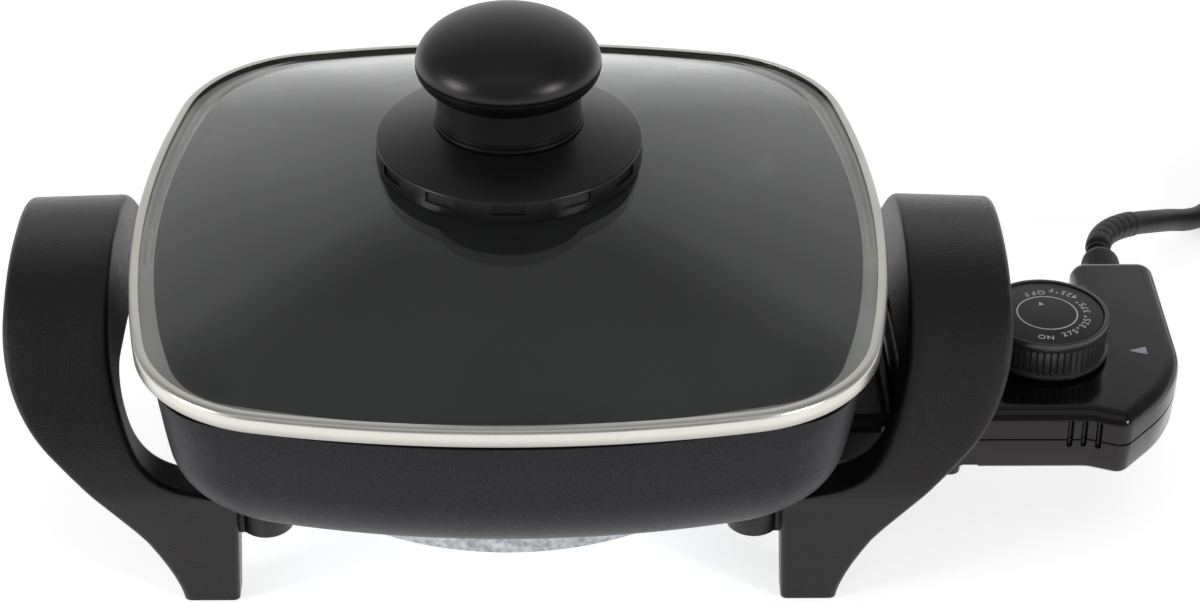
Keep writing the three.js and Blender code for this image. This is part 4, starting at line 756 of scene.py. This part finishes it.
# Handles: one section carried along the arch, between the faces at each point's own level
SPRING, ARCH_TOP, SPAN = 35, 89.2, 57
FOOT_T, LEG_T, CROWN_T, OPEN_R = 10, 13.4, 26.4, 15.5
SHIN_X = POST_X + 7
FOOT_X = SHIN_X + 1.3
TOE_X = FOOT_X + 15.8
ANKLE_X, ANKLE_Z = SHIN_X + 27.5, 21.4
GRIP_IN = 111.5
SHELF_Z = PAN_LOW - 6.3
OUTER_R, OUTER_TOP, OUTER_TURN = 47, RIM_Z - 7.5, radians(45)
TOE_POWER = 1.4
POWER_Y, POWER_Z, OUTER_STEPS = 2 / 2.5, 2 / 1.4, 56
LEG_LEVELS = (0, 0.5, 1.5, 4, 8, 12, 16, 20, 24, 27, 29, 31, 32.4, 33.2, 33.7, 34.3)
EDGE_RADII, EDGE_STEPS, FACE_STEPS = [1.8, 2.2, 4.2, 1.8], 5, 8
CONTOUR = [(0, 0), (0.053, 0.02), (0.236, 0.045), (0.428, 0.074), (0.589, 0.121), (0.708, 0.19),
           (0.786, 0.275), (0.853, 0.396), (0.919, 0.554), (0.967, 0.712), (1, 1)]
INNER = [(FOOT_X, 0)]
INNER += [(SHIN_X + (GRIP_IN - SHIN_X) * u, SHELF_Z + (RIM_Z - SHELF_Z) * v) for u, v in CONTOUR]


def outer_x(z):
    """X of the outer face: grip, arc, slope and curved foot."""
    low = OUTER_TOP - OUTER_R * sin(OUTER_TURN)
    low_x = GRIP_X - OUTER_R * (1 - cos(OUTER_TURN))
    if z >= OUTER_TOP:
        return GRIP_X
    if z >= low:
        return GRIP_X - OUTER_R + sqrt(OUTER_R ** 2 - (OUTER_TOP - z) ** 2)
    if z >= ANKLE_Z:
        return ANKLE_X + (low_x - ANKLE_X) * (z - ANKLE_Z) / (low - ANKLE_Z)
    return TOE_X + (ANKLE_X - TOE_X) * max(z / ANKLE_Z, 0) ** TOE_POWER


def inner_x(z):
    """X of the inner face: straight to the shelf, then a curve through the contour."""
    if z >= RIM_Z:
        return INNER[-1][0]
    k = next(i for i, p in enumerate(INNER) if p[1] > z)
    if k == 0:
        return INNER[0][0]
    (x0, z0), (x1, z1) = INNER[k - 1], INNER[k]
    if k < 3:
        return x0 + (x1 - x0) * (z - z0) / (z1 - z0)
    xm, zm = INNER[k - 2]
    xp, zp = INNER[min(k + 1, len(INNER) - 1)]
    s0 = (x1 - xm) / (z1 - zm)
    s1 = (xp - x0) / (zp - z0)
    h = z1 - z0
    return hermite((z - z0) / h, x0, h * s0, x1, h * s1)


def opening_edge(share):
    """Edge of the opening, by the share of the way to its middle."""
    leg_y = SPAN - LEG_T
    corner_y = leg_y - OPEN_R
    top = ARCH_TOP - CROWN_T
    corner_z = top - OPEN_R
    straight = corner_z - SPRING
    bend = OPEN_R * pi / 2
    along = share * (straight + bend + corner_y)
    if along <= straight:
        return Vector((-leg_y, SPRING + along))
    a = (along - straight) / OPEN_R
    if a < pi / 2:
        return Vector((-corner_y - OPEN_R * cos(a), corner_z + OPEN_R * sin(a)))
    return Vector((along - straight - bend - corner_y, top))


def arch_stations():
    """Pairs of points on the arch's outer edge and its opening's, from foot to foot."""
    legs = []
    for z in LEG_LEVELS:
        thick = FOOT_T + (LEG_T - FOOT_T) * min(z / 34, 1)
        legs.append((Vector((-SPAN, z)), Vector((thick - SPAN, z))))
    outers = []
    for i in range(OUTER_STEPS + 1):
        a = pi / 2 * (i / OUTER_STEPS) ** 1.4
        y = -SPAN * max(cos(a), 0) ** POWER_Y if i < OUTER_STEPS else 0
        z = SPRING + (ARCH_TOP - SPRING) * sin(a) ** POWER_Z
        outers.append(Vector((y, z)))
    reach = reaches(outers)
    front = legs + [(p, opening_edge(r / reach[-1])) for p, r in zip(outers, reach)]
    rear = [(Vector((-a.x, a.y)), Vector((-b.x, b.y))) for a, b in reversed(front[:-1])]
    return front + rear


def arch_ring(outer, inner, side):
    z = outer.y
    thick = (inner - outer).length
    width = outer_x(z) - inner_x(z)
    crown = max(z - SPRING, 0) / (ARCH_TOP - SPRING)
    tilt = tan(radians(2.2)) * crown
    section = rounded(rect(0, width, 0, thick), EDGE_RADII, EDGE_STEPS)
    points = []
    for i, p in enumerate(section):
        q = section[(i + 1) % len(section)]
        steps = FACE_STEPS if i % (EDGE_STEPS + 1) == EDGE_STEPS else 1
        points += [p.lerp(q, k / steps) for k in range(steps)]
    out = []
    for p in points:
        place = outer.lerp(inner, p.y / thick)
        left = inner_x(place.y)
        x = left + (outer_x(place.y) - left) * p.x / width
        out.append((side * x, place.x, place.y + (GRIP_X - x) * tilt))
    return out


LUG_TOP = PAN_LOW - POST_H - GAP
LUG_H, HEAD_WELL, HEAD_WELL_R = 13, 2.45, 3.95
LUG_LOW = LUG_TOP - LUG_H
LUG_PROFILE = raised(
    [(SCREW_BORE, HEAD_WELL), (HEAD_WELL_R, HEAD_WELL), (HEAD_WELL_R, 0), (LUG_R - 0.6, 0),
     (LUG_R, 0.6)], LUG_LOW)
LUG_PROFILE += raised([(LUG_R, -0.4), (LUG_R - 0.4, 0), (SCREW_BORE, 0)], LUG_TOP)


def handle(side, word):
    parts = [loft([arch_ring(outer, inner, side) for outer, inner in arch_stations()])]
    for y in (-POST_Y, POST_Y):
        parts.append(lathe(LUG_PROFILE, 48, side * POST_X, y))
        web = prism(rect(73.5, 79, y - 4.5, y + 4.5), LUG_LOW, LUG_TOP, 0.4)
        parts.append(moved(web, lambda v: (side * v[0], v[1], v[2])))
    obj = mesh_of(f"handle_{word}_moulding", parts)
    dress(obj, bakelite, "base", [f"handle_{word}"], smooth=50)


handle(-1, "left")
handle(1, "right")


def screw(x, y, z, shank_r, head_r, head_h, shank_l):
    """A screw with its head down, a socket in it and a tapered end."""
    socket_r, socket_h = head_r * 0.45, 0.9
    end = head_h + shank_l
    profile = [
        (0, socket_h), (0.001, socket_h), (socket_r, socket_h), (socket_r, 0.2),
        (head_r - 0.4, 0), (head_r, 0.5), (head_r, head_h), (shank_r, head_h),
        (shank_r, end - 0.5), (shank_r * 0.6, end), (0, end),
    ]
    return lathe(raised(profile, z), 32, x, y)


HEAD_H = 2.2
for side, word in ((-1, "left"), (1, "right")):
    for end, y in (("front", -POST_Y), ("rear", POST_Y)):
        shape = screw(side * POST_X, y, LUG_LOW + HEAD_WELL - HEAD_H - GAP, shank_r=1.9,
                      head_r=3.7, head_h=HEAD_H, shank_l=LUG_H - HEAD_WELL + POST_H)
        steel_piece(f"pan_screw_{word}_{end}", shape, "base", f"handle_screw_{word}_{end}")

# Lid rim: a rolled channel round the glass and a lip inside the pan, as insets and levels
LID_HALF, RIM_WALL, RIM_H, RIM_REACH = 106, 0.8, 5.6, 2.8
RIM_SECTION = [(0.5, 0), (0, RIM_WALL), (0, RIM_H), (RIM_REACH, RIM_H), (RIM_REACH, 5.4),
               (RIM_WALL, 5.4), (RIM_WALL, RIM_WALL)]
RIM_RADII, RIM_STEPS = [0.35, 0.8, 1.5, 0.09, 0.09, 0.3, 0.2], 5
LIP_IN = PAN_WALL + DRAFT * 5 + 0.6
LIP_OUT = LIP_IN + RIM_WALL
LIP_SECTION = [(LIP_OUT, RIM_WALL), (LIP_OUT, -4.8), (LIP_IN + 0.6, -5), (LIP_IN + 0.2, -5),
               (LIP_IN, -4.8), (LIP_IN, 0)]


def lid_outline(inset):
    return bowed_square(LID_HALF - inset, side_r=328.5 - inset, corner_r=43.5 - inset)


channel_points = rounded(RIM_SECTION, RIM_RADII, RIM_STEPS)[:-(RIM_STEPS + 1)]
rim_rings = [ring(lid_outline(p[0]), RIM_Z + p[1]) for p in channel_points]
rim_rings.append(ring(lid_outline(RIM_WALL), RIM_Z + RIM_WALL))
rim_rings += [ring(pan_outline(inset), RIM_Z + z) for inset, z in LIP_SECTION]
piece("lid_rim_rolled", [loft(rim_rings, loop=True)],
      rim_steel, "lid", ["lid_rim"], smooth=40)

# Lid glass: a dome that ends in a narrow flat ring inside the channel
GLASS_IN = RIM_WALL + 0.35
GLASS_HALF = LID_HALF - GLASS_IN
GLASS_T, GLASS_SEAT, DOME_H = 4, 1.1, 23
FLAT_RING = 3.2
DOME_SHARE = 1 - FLAT_RING / GLASS_HALF
HOLE_SHARE = 4.2 / GLASS_HALF
EDGE_SHARE, EDGE_BEVEL = 1 - 0.004, 0.5
DOME_STEPS = 40


def glass_level(share):
    """The glass's top over the pan's rim, by the share of the way out."""
    return GLASS_SEAT + GLASS_T + DOME_H * (1 - min(share / DOME_SHARE, 1) ** 2)


glass_outline = lid_outline(GLASS_IN)


def glass_ring(share, z):
    """Round at the middle, and more like the lid's outline further out."""
    points = [(p.normalized() * GLASS_HALF * share).lerp(p * share, share) for p in glass_outline]
    return ring(points, RIM_Z + z)


shares = [HOLE_SHARE + (DOME_SHARE - HOLE_SHARE) * i / DOME_STEPS for i in range(DOME_STEPS + 1)]
under = [glass_ring(share, glass_level(share) - GLASS_T) for share in shares]
over = [glass_ring(share, glass_level(share)) for share in shares]
glass_top = GLASS_SEAT + GLASS_T
edge = [glass_ring(EDGE_SHARE, GLASS_SEAT), glass_ring(1, GLASS_SEAT + EDGE_BEVEL),
        glass_ring(1, glass_top - EDGE_BEVEL), glass_ring(EDGE_SHARE, glass_top)]
piece("lid_glass_dome", [loft(under + edge + over[::-1], loop=True)],
      glass, "lid", ["lid_glass"], smooth=60)

# Knob: a wide disc with slots round its edge, a stem that opens into a bowl, and a domed cap
LID_TOP = RIM_Z + glass_level(0)
KNOB_SEAT = LID_TOP + GAP
KNOB_BORE, KNOB_STEPS = 3, 144
DISC_R, DISC_IN, DISC_FOOT_R, DISC_EDGE = 37.2, 34.8, 18, 6.3
DISC_TOP = RIM_Z + 32.2
DISC_CROWN = DISC_TOP + 4.9
SLOTS, SLOT_HALF = 12, 4.5
NECK_R, FOOT_RING_R, CAP_R, CAP_H, BOWL_H = 20, 20.9, 25.7, 13.5, 10.5
CAP_WALL, CAP_STEPS, BOWL_STEPS = 3, 40, 16

disc_profile = rounded(
    raised([(KNOB_BORE, 0), (DISC_FOOT_R, 0), (DISC_FOOT_R, 2.6)], KNOB_SEAT)
    + raised([(DISC_IN, -2.4), (DISC_IN, -DISC_EDGE), (DISC_R, -DISC_EDGE), (DISC_R, 0)], DISC_TOP)
    + [(FOOT_RING_R, DISC_CROWN), (KNOB_BORE, DISC_CROWN)],
    [0.2, 0.4, 0.3, 0.5, 0.2, 0.3, 0.8, 0.3, 0.1], 5)


def spun(part, a):
    c, s = cos(a), sin(a)
    return moved(part, lambda v: (v[0] * c - v[1] * s, v[0] * s + v[1] * c, v[2]))


slot = box((36.3, -SLOT_HALF, DISC_TOP - 4), (44, SLOT_HALF, DISC_TOP - 0.9))
slots = [spun(slot, 2 * pi * i / SLOTS) for i in range(SLOTS)]
piece("knob_base_disc", [lathe(disc_profile, KNOB_STEPS)],
      knob_black, "lid", ["knob_base"], slots)

STEM_LOW = DISC_CROWN + GAP
CAP_LOW = RIM_Z + 55
NECK_TURN = acos(NECK_R / CAP_R)
BOWL_LOW = CAP_LOW - BOWL_H * sin(NECK_TURN)
bowl_turns = [NECK_TURN * (1 - i / BOWL_STEPS) for i in range(BOWL_STEPS)]
bowl = [(CAP_R * cos(a), CAP_LOW - BOWL_H * sin(a)) for a in bowl_turns]
foot_ring = rounded(
    raised([(KNOB_BORE, 0), (FOOT_RING_R, 0), (FOOT_RING_R, 1.2), (20.3, 1.3), (20.5, 2.3),
            (NECK_R, 2.5)], STEM_LOW) + [(NECK_R, BOWL_LOW - 1)],
    [0.2, 0.5, 0.5, 0.1, 0.35, 0.1, 0], 5)
bowl_edge = [(CAP_R, CAP_LOW - 0.3), (CAP_R - 0.25, CAP_LOW)]
bowl_core = rounded([(8, CAP_LOW), (8, BOWL_LOW), (KNOB_BORE, BOWL_LOW)], 0, 1)
# The stem takes the darker copy of the knob's black: painted shade under the cap
piece("knob_stem_turned", [lathe(foot_ring + bowl + bowl_edge + bowl_core, KNOB_STEPS)],
      shade_black, "lid", ["knob_stem"])

cap_seat = CAP_LOW + GAP
cap_out, cap_in = [(CAP_R - 0.2, cap_seat)], []
for i, a in enumerate(quarter(CAP_STEPS)):
    across = cos(a) if i < CAP_STEPS else 0
    if i:
        cap_out.append((CAP_R * across, cap_seat + CAP_H * sin(a)))
    if i % 4 == 0:
        cap_in.append(((CAP_R - CAP_WALL) * across, cap_seat + (CAP_H - CAP_WALL) * sin(a)))
piece("knob_cap_moulding", [lathe(cap_out + cap_in[::-1], KNOB_STEPS)],
      knob_black, "lid", ["knob_cap"])

# Under the glass: gasket, washer and the screw that holds the knob
GASKET_R, GASKET_BORE, GASKET_T = 12.5, 4.2, 1.6
WASHER_R, WASHER_T = 11, 1.2
sag = DOME_H * (GASKET_R / LID_HALF) ** 2
gasket_z = LID_TOP - GLASS_T - GAP - GASKET_T - sag
gasket = round_tube(GASKET_BORE, GASKET_R, gasket_z, gasket_z + GASKET_T, 0.35, 3, 64)
piece("lid_gasket_ring", [gasket], silicone, "lid", ["lid_gasket"])
washer_z = gasket_z - GAP - WASHER_T
washer = round_tube(KNOB_BORE, WASHER_R, washer_z, washer_z + WASHER_T, 0.3, 3, 64)
steel_piece("lid_washer_pressed", washer, "lid", "lid_washer")
shape = screw(0, 0, washer_z - GAP - HEAD_H, shank_r=2.75, head_r=7.4, head_h=HEAD_H, shank_l=26)
steel_piece("knob_screw_turned", shape, "lid", "knob_screw")

# Heat control: its outline as corners with their radii, of which two bend inward
TOP_Z, LOW_Z, PART_Z, HALF_Y = 47, 27.2, 37.6, 32.5
BODY_LEFT, ARM_LEFT, BULGE_LEFT, BULGE_RIGHT, BULGE = 109, 170, 165, 174.8, 3.7
CORNERS = [
    (BODY_LEFT, -HALF_Y, 3), (BULGE_LEFT, -HALF_Y, 6), (BULGE_RIGHT, -HALF_Y - BULGE, 4.5),
    (188.5, -20.5, 48), (CASE_RIGHT, -5, 38), (CASE_RIGHT, ARM_REAR, 5),
    (ARM_LEFT, ARM_REAR, 5), (ARM_LEFT, HALF_Y, 4), (BODY_LEFT, HALF_Y, 3),
]
INWARD_CORNERS = (1, 7)
TOP_EDGE, NOSE_LEFT, KEEL_RIGHT = 4.4, 82.5 + 2.4 + 0.6, 129.2
COLLAR_R, SHAFT_BORE_R, EXIT_BORE_R, SOCKET_BORE_R = 17, 3.6, 4.5, 4.3
SCREW_PLACES = {"left": (122, 24), "rear": (187, 26), "front": (176, -24)}
CASE_BORE_R, CASE_WELL_R, CASE_POST_R = 1.55, 2.85, 3.4


def case_outline(inset):
    pts = inset_by([(x, y) for x, y, _ in CORNERS], inset)
    radii = [r + inset if i in INWARD_CORNERS else max(r - inset, r / 8)
             for i, (_, _, r) in enumerate(CORNERS)]
    return rounded(pts, radii, 8)


def case(profile):
    return loft([ring(case_outline(inset), z) for inset, z in profile])


def nose(margin, left, right):
    """The block that reaches under the handle to the pins."""
    half_w, half_h = 24 + margin, 6.4 + margin
    outline = rounded(rect(-half_w, half_w, -half_h, half_h), 3, 5)
    return along_x(prism(outline, left, right))


# Vents: upright grooves with rounded ends in the front, cut by a flattened lathe
VENTS, VENT_X, VENT_STEP, VENT_HALF, VENT_DEPTH = 3, 159.4, 4, 0.85, 1.4
VENT_LOW, VENT_TOP = 34.9, 44
vent_arcs = [(VENT_HALF * sin(a), VENT_HALF * (1 - cos(a))) for a in quarter(6)]
vent_side = [(r, VENT_LOW + d) for r, d in vent_arcs]
vent_side += [(r, VENT_TOP - d) for r, d in vent_arcs[::-1]]
vents = []
for i in range(VENTS):
    x = VENT_X + VENT_STEP * i
    y = -HALF_Y - BULGE * max(x - BULGE_LEFT, 0) / 9.8
    vents.append(moved(
        lathe(vent_side, 32), lambda v: (x + v[0], y + v[1] * VENT_DEPTH / VENT_HALF, v[2])))
exit_hole = along_y(tube(0, EXIT_BORE_R, -10, 6, 48), EXIT_X, ARM_REAR, EXIT_Z)

# Upper shell, with a collar for the dial
top_edge = [(TOP_EDGE * (1 - cos(a)), TOP_Z - TOP_EDGE * (1 - sin(a))) for a in quarter(8)]
upper = mesh_of("control_top_shell", [case([(0.25, PART_Z), (0, PART_Z + 0.25), *top_edge])])
cut(upper, [case([
    (CASE_WALL, PART_Z - 6), (CASE_WALL, TOP_Z - CASE_WALL - CASE_WALL),
    (2.9, TOP_Z - 2.9), (TOP_EDGE, TOP_Z - CASE_WALL)])])
collar = round_tube(4, COLLAR_R, TOP_Z - 1.1, TOP_Z + 0.9, [0, 0, 0.3, 0], 4, 96, DIAL_X)
cut(upper, [collar], "UNION")
upper_posts = [tube(CASE_BORE_R, CASE_POST_R, PART_Z + GAP, TOP_Z - 2, 24, x, y)
               for x, y in SCREW_PLACES.values()]
shaft_hole = tube(0, SHAFT_BORE_R, 38, 60, 40, DIAL_X)
cut(upper, [shaft_hole, nose(GAP, NOSE_LEFT, 118), exit_hole, *vents])
dress(upper, gloss_black, "control", ["control_upper_housing"])
piece("control_top_posts", upper_posts, gloss_black, "control")

# Lower shell, with the nose, bores for pins and probe, and wells for the screws
lower_top = PART_Z - GAP
lower = mesh_of("control_bottom_shell", [case([
    *raised([(2.1, 0), (1.35, 0.2), (0.75, 0.8), (CASE_DRAFT, 1.5)], LOW_Z),
    (0.05, lower_top - 0.25), (0.3, lower_top)])])
keel = rounded(rect(BODY_LEFT, KEEL_RIGHT, -HALF_Y + 0.5, HALF_Y - 0.5), 3, 6)
cut(lower, [prism(keel, LOW_Z - 2.5, LOW_Z + 2.2, 0.6)], "UNION")
cut(lower, [box((KEEL_RIGHT, -HALF_Y - 6, LOW_Z - 6), (134, HALF_Y + 6, LOW_Z + 1.2))])
cut(lower, [case([
    (2.7, LOW_Z + 3.4), (CASE_WALL, LOW_Z + 5), (CASE_WALL, lower_top + 6)])])
cut(lower, [nose(0, NOSE_LEFT, 111.2)], "UNION")
holes = [along_x(tube(0, r, NOSE_LEFT - 6, 115, 40), y)
         for r, y in ((SOCKET_BORE_R, -PIN_Y), (SOCKET_BORE_R, PIN_Y), (PROBE_BORE_R, 0))]
WELL_PROFILE = raised([(0, -9), (CASE_WELL_R, -9), (CASE_WELL_R, 2), (CASE_BORE_R, 2)], LOW_Z)
WELL_PROFILE += [(CASE_BORE_R, PART_Z + 1), (0, PART_Z + 1)]
wells = [lathe(WELL_PROFILE, 32, x, y) for x, y in SCREW_PLACES.values()]
cut(lower, [*holes, exit_hole, *vents, *wells])
dress(lower, gloss_black, "control", ["control_lower_housing"])
for word, (x, y) in SCREW_PLACES.items():
    shape = screw(x, y, LOW_Z, shank_r=1.3, head_r=2.6, head_h=1.7, shank_l=PART_Z - LOW_Z)
    steel_piece(f"control_screw_{word}", shape, "control", f"housing_screw_{word}")

# Pointer, contact sockets and probe
lens_outline = rounded([(180, -1.2), (185.5, -3.15), (185.5, 0.75)], [0.25, 0.3, 0.3], 4)
lens = prism(lens_outline, TOP_Z - 1.1, TOP_Z + 0.28, 0.12, 2)
piece("pointer_lens_moulding", [lens], lens_clear, "control", ["pointer_lens"])

SOCKET_R, SOCKET_IN = 3.7, 2.7
socket_start, socket_end = NOSE_LEFT + 2, NOSE_LEFT + 24
SOCKET_PROFILE = raised([(SOCKET_IN, 0), (SOCKET_R - 0.3, 0), (SOCKET_R, 0.4)], socket_start)
SOCKET_PROFILE += raised([(SOCKET_R, 0), (0, 0), (0, -3), (SOCKET_IN, -3)], socket_end)
for cad, y in (("contact_socket_front", -PIN_Y), ("contact_socket_rear", PIN_Y)):
    piece(cad + "_formed", [along_x(lathe(SOCKET_PROFILE, 40), y)],
          brass, "control", [cad])
PROBE_R, PROBE_END = 3.2, 113.7
PROBE_PROFILE = [(0, 18), (1.6, 18.2), (2.7, 19), (PROBE_R, 20.6), (PROBE_R, PROBE_END),
                 (0, PROBE_END)]
steel_piece("sensor_probe_drawn", along_x(lathe(PROBE_PROFILE, 48)), "control", "sensor_probe")

# Dial
DIAL_TOP, DIAL_H, DIAL_R, GRIP_R = 60, 11.8, 18.3, 17.9
DIAL_LOW = DIAL_TOP - DIAL_H
DIAL_RIBS, RIB_POINTS, GROOVE_SHARE = 56, 12, 0.17
FACE_R, FACE_T = GRIP_R - 1.3, 0.8
FACE_Z = DIAL_TOP - 0.4 - FACE_T
HUB_R, HUB_BORE_R = 5, 3.25
DIAL_WALL = 2


def ribbed(r, depth, z):
    """A ring with narrow grooves between broad ribs."""
    out = []
    n = DIAL_RIBS * RIB_POINTS
    for i in range(n):
        a = 2 * pi * i / n
        off = abs((i % RIB_POINTS) - RIB_POINTS / 2)
        groove = max(1 - off / (RIB_POINTS * GROOVE_SHARE), 0)
        q = r - depth * sin(groove * pi / 2)
        out.append((*polar(q, a, DIAL_X), z))
    return out


# Flange, grooved side and rounded top, then the inside down to the hub
DIAL_PROFILE = raised([(DIAL_R - 0.2, 0), (DIAL_R, 0.2), (DIAL_R, 1), (DIAL_R - 0.2, 1.2),
                       (GRIP_R - 0.3, 1.25), (GRIP_R - 0.3, 1.5)], DIAL_LOW)
DIAL_PROFILE += raised([
    (GRIP_R - 0.3, -3.2), (GRIP_R - 0.3, -2.9), (GRIP_R - 0.2, -2.7), (GRIP_R, -2.3),
    (GRIP_R, -0.5), (GRIP_R - 0.12, -0.15), (GRIP_R - 0.45, 0), (FACE_R + 0.3, 0),
    (FACE_R, -0.2)], DIAL_TOP)
DIAL_PROFILE += [
    (FACE_R, FACE_Z - GAP), (HUB_BORE_R, FACE_Z - GAP), (HUB_BORE_R, DIAL_LOW + 1.2),
    (HUB_R, DIAL_LOW + 1.2), (HUB_R, FACE_Z - 2), (GRIP_R - DIAL_WALL, FACE_Z - 2),
    (GRIP_R - DIAL_WALL, DIAL_LOW),
]
GROOVE_DEPTHS = {5: 0.4, 6: 0.4, 7: 0.1}  # by row of DIAL_PROFILE
dial_satin = plastic("dial_satin", base=0.018, rough=0.36, grain=1200, strength=0.12, specular=0.28)
grip_black = plastic("grip_black", base=0.036, rough=0.26, grain=1500, strength=0.06, specular=0.6)
dial_rings = [ribbed(r, GROOVE_DEPTHS.get(i, 0), z) for i, (r, z) in enumerate(DIAL_PROFILE)]
piece("dial_knob", [loft(dial_rings, loop=True)],
      grip_black, "dial", ["dial"], smooth=28)
PRINT_Z, PRINT_T = FACE_Z + FACE_T, 0.05
face = round_tube(0, FACE_R - GAP, FACE_Z, PRINT_Z, [0, 0.1, 0.2, 0], 3, 96, DIAL_X)
piece("dial_face_disc", [face], dial_satin, "dial", ["dial_face"])

# Print on the dial: a thin ring, a pointer and the lettering
POINTER_A = radians(105)
POINTER = [(6.1, 0), (4.3, -0.85), (4.3, 0.85)]
print_ring = tube(8.5, 8.9, PRINT_Z, PRINT_Z + PRINT_T, 96, DIAL_X)
c, s = cos(POINTER_A), sin(POINTER_A)
pointer = prism([(DIAL_X + r * c - t * s, r * s + t * c) for r, t in POINTER],
                PRINT_Z, PRINT_Z + PRINT_T)
piece("dial_ring_print", [print_ring, pointer], print_white, "dial")


def letter_mesh(name, letter, a, r):
    """One letter in the frame, its top towards the dial's middle."""
    data = bpy.data.curves.new(name, "FONT")
    data.body = letter
    data.size = 2.9 / 1000
    data.align_x = data.align_y = "CENTER"
    data.extrude = PRINT_T / 2000
    data.offset = 0.00002
    obj = new_object(name, data)
    place = mm((*polar(r, a, DIAL_X), PRINT_Z + PRINT_T / 2))
    obj.matrix_world = Matrix.Translation(place) @ Matrix.Rotation(a + pi / 2, 4, "Z")
    bpy.context.view_layer.update()
    made = baked_mesh(obj)
    made.transform(obj.matrix_world)
    bpy.data.objects.remove(obj)
    return made


def label(name, text, angle, step, r):
    """Letters on an arc round the dial's middle, at even steps."""
    bm = bmesh.new()
    for i, letter in enumerate(text):
        a = radians(angle + (i - (len(text) - 1) / 2) * step)
        bm.from_mesh(letter_mesh(name, letter, a, r))
    data = bpy.data.meshes.new(name)
    bm.to_mesh(data)
    bm.free()
    obj = new_object(name, data)
    data.materials.append(print_white)
    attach(obj, "dial")


label("dial_print_off", "OFF", angle=104, step=12, r=11.0)
label("dial_print_on", "ON", angle=-99, step=11, r=13.2)
label("dial_print_275", "275°", angle=-60, step=9, r=12.0)
label("dial_print_325", "325°", angle=-24, step=9, r=11.8)
label("dial_print_375", "375°", angle=17, step=9, r=11.7)
label("dial_print_425", "425°F", angle=60, step=8.5, r=12.5)

# CAD nodes that stay, with the same finishes; the terminal guard takes the darker copy of the
# knob's black, painted shade for the shadow it lies in
KEPT_NODES = {
    "terminal_guard": shade_black, "guard_screw_front": steel, "guard_screw_rear": steel,
    "thermostat_frame": steel, "bimetal_blade": brass, "pilot_lamp": lens_clear,
    "dial_shaft": brass,
}
for cad, finish in KEPT_NODES.items():
    for material_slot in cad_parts[cad].material_slots:
        material_slot.material = finish

# Floor: lifted to white for the camera, and where glass and gloss show it
FLOOR_REACH, FLOOR_DROP, FLOOR_LIFT = 6, 0.0003, 0.68
floor_mat = material("floor", (0.86, 0.86, 0.86), 0.7)
ways = node(floor_mat, "ShaderNodeLightPath")
seen = maths(floor_mat, "ADD", (ways, "Is Camera Ray"), (ways, "Is Glossy Ray"), clamp=True)
seen = maths(floor_mat, "ADD", seen, (ways, "Is Transmission Ray"), clamp=True)
lift = maths(floor_mat, "MULTIPLY", seen, FLOOR_LIFT)
link(floor_mat, *lift, shader(floor_mat), "Emission Strength")
shader(floor_mat).inputs["Emission Color"].default_value = rgba(1)
floor_data = bpy.data.meshes.new("floor")
floor_square = rect(-FLOOR_REACH, FLOOR_REACH, -FLOOR_REACH, FLOOR_REACH)
floor_data.from_pydata(ring(floor_square, -FLOOR_DROP), [], [(0, 1, 2, 3)])
floor = new_object("floor", floor_data)
floor_data.materials.append(floor_mat)


# Lights

def area(name, place, target, size, power):
    data = bpy.data.lights.new(name, "AREA")
    data.shape = "RECTANGLE"
    data.size, data.size_y = size
    data.energy = power
    obj = new_object(name, data)
    obj.location = place
    obj.rotation_mode = "QUATERNION"
    obj.rotation_quaternion = (Vector(target) - Vector(place)).to_track_quat("-Z", "Y")


area("top_light", place=(0, -1.2, 2.4), target=(0, 0, 0.05), size=(3.4, 1.6), power=7)
area("front_left", place=(-2.2, -0.9, 0.85), target=(0, 0, 0.1), size=(0.55, 0.5), power=22)
area("front_right", place=(1.8, -1.3, 0.85), target=(0, 0, 0.1), size=(0.5, 0.45), power=15)

# World: white, its strength by height and by how far to the rear and aside
world = bpy.data.worlds.new("world")
bpy.context.scene.world = world
world.use_nodes = True
sky = world.node_tree.nodes["Background"]
where = node(world, "ShaderNodeTexCoord")
split = node(world, "ShaderNodeSeparateXYZ")
link(world, where, "Generated", split, "Vector")
by_height = color_ramp(
    world, split, "Z", [(0, 0.95), (0.3, 0.8), (0.5, 0.74), (0.62, 0.62), (0.8, 0.38), (1, 0.42)])
rearward = maths(world, "MULTIPLY_ADD", (split, "Y"), 0.5, 0.5)
by_rear = color_ramp(world, *rearward, [(0, 0.3), (0.3, 0.4), (0.55, 0.75), (0.8, 0.95), (1, 1)])
both = maths(world, "MULTIPLY", by_height, by_rear)
sideways = maths(world, "ABSOLUTE", (split, "X"))
by_width = color_ramp(world, *sideways, [(0, 1), (0.3, 1), (0.75, 0.45), (1, 0.45)])
strength = maths(world, "MULTIPLY", both, by_width)
link(world, *strength, sky, "Strength")
sky.inputs["Color"].default_value = rgba(1)

scene = bpy.context.scene
scene.view_settings.view_transform = "Standard"

bpy.context.view_layer.update()
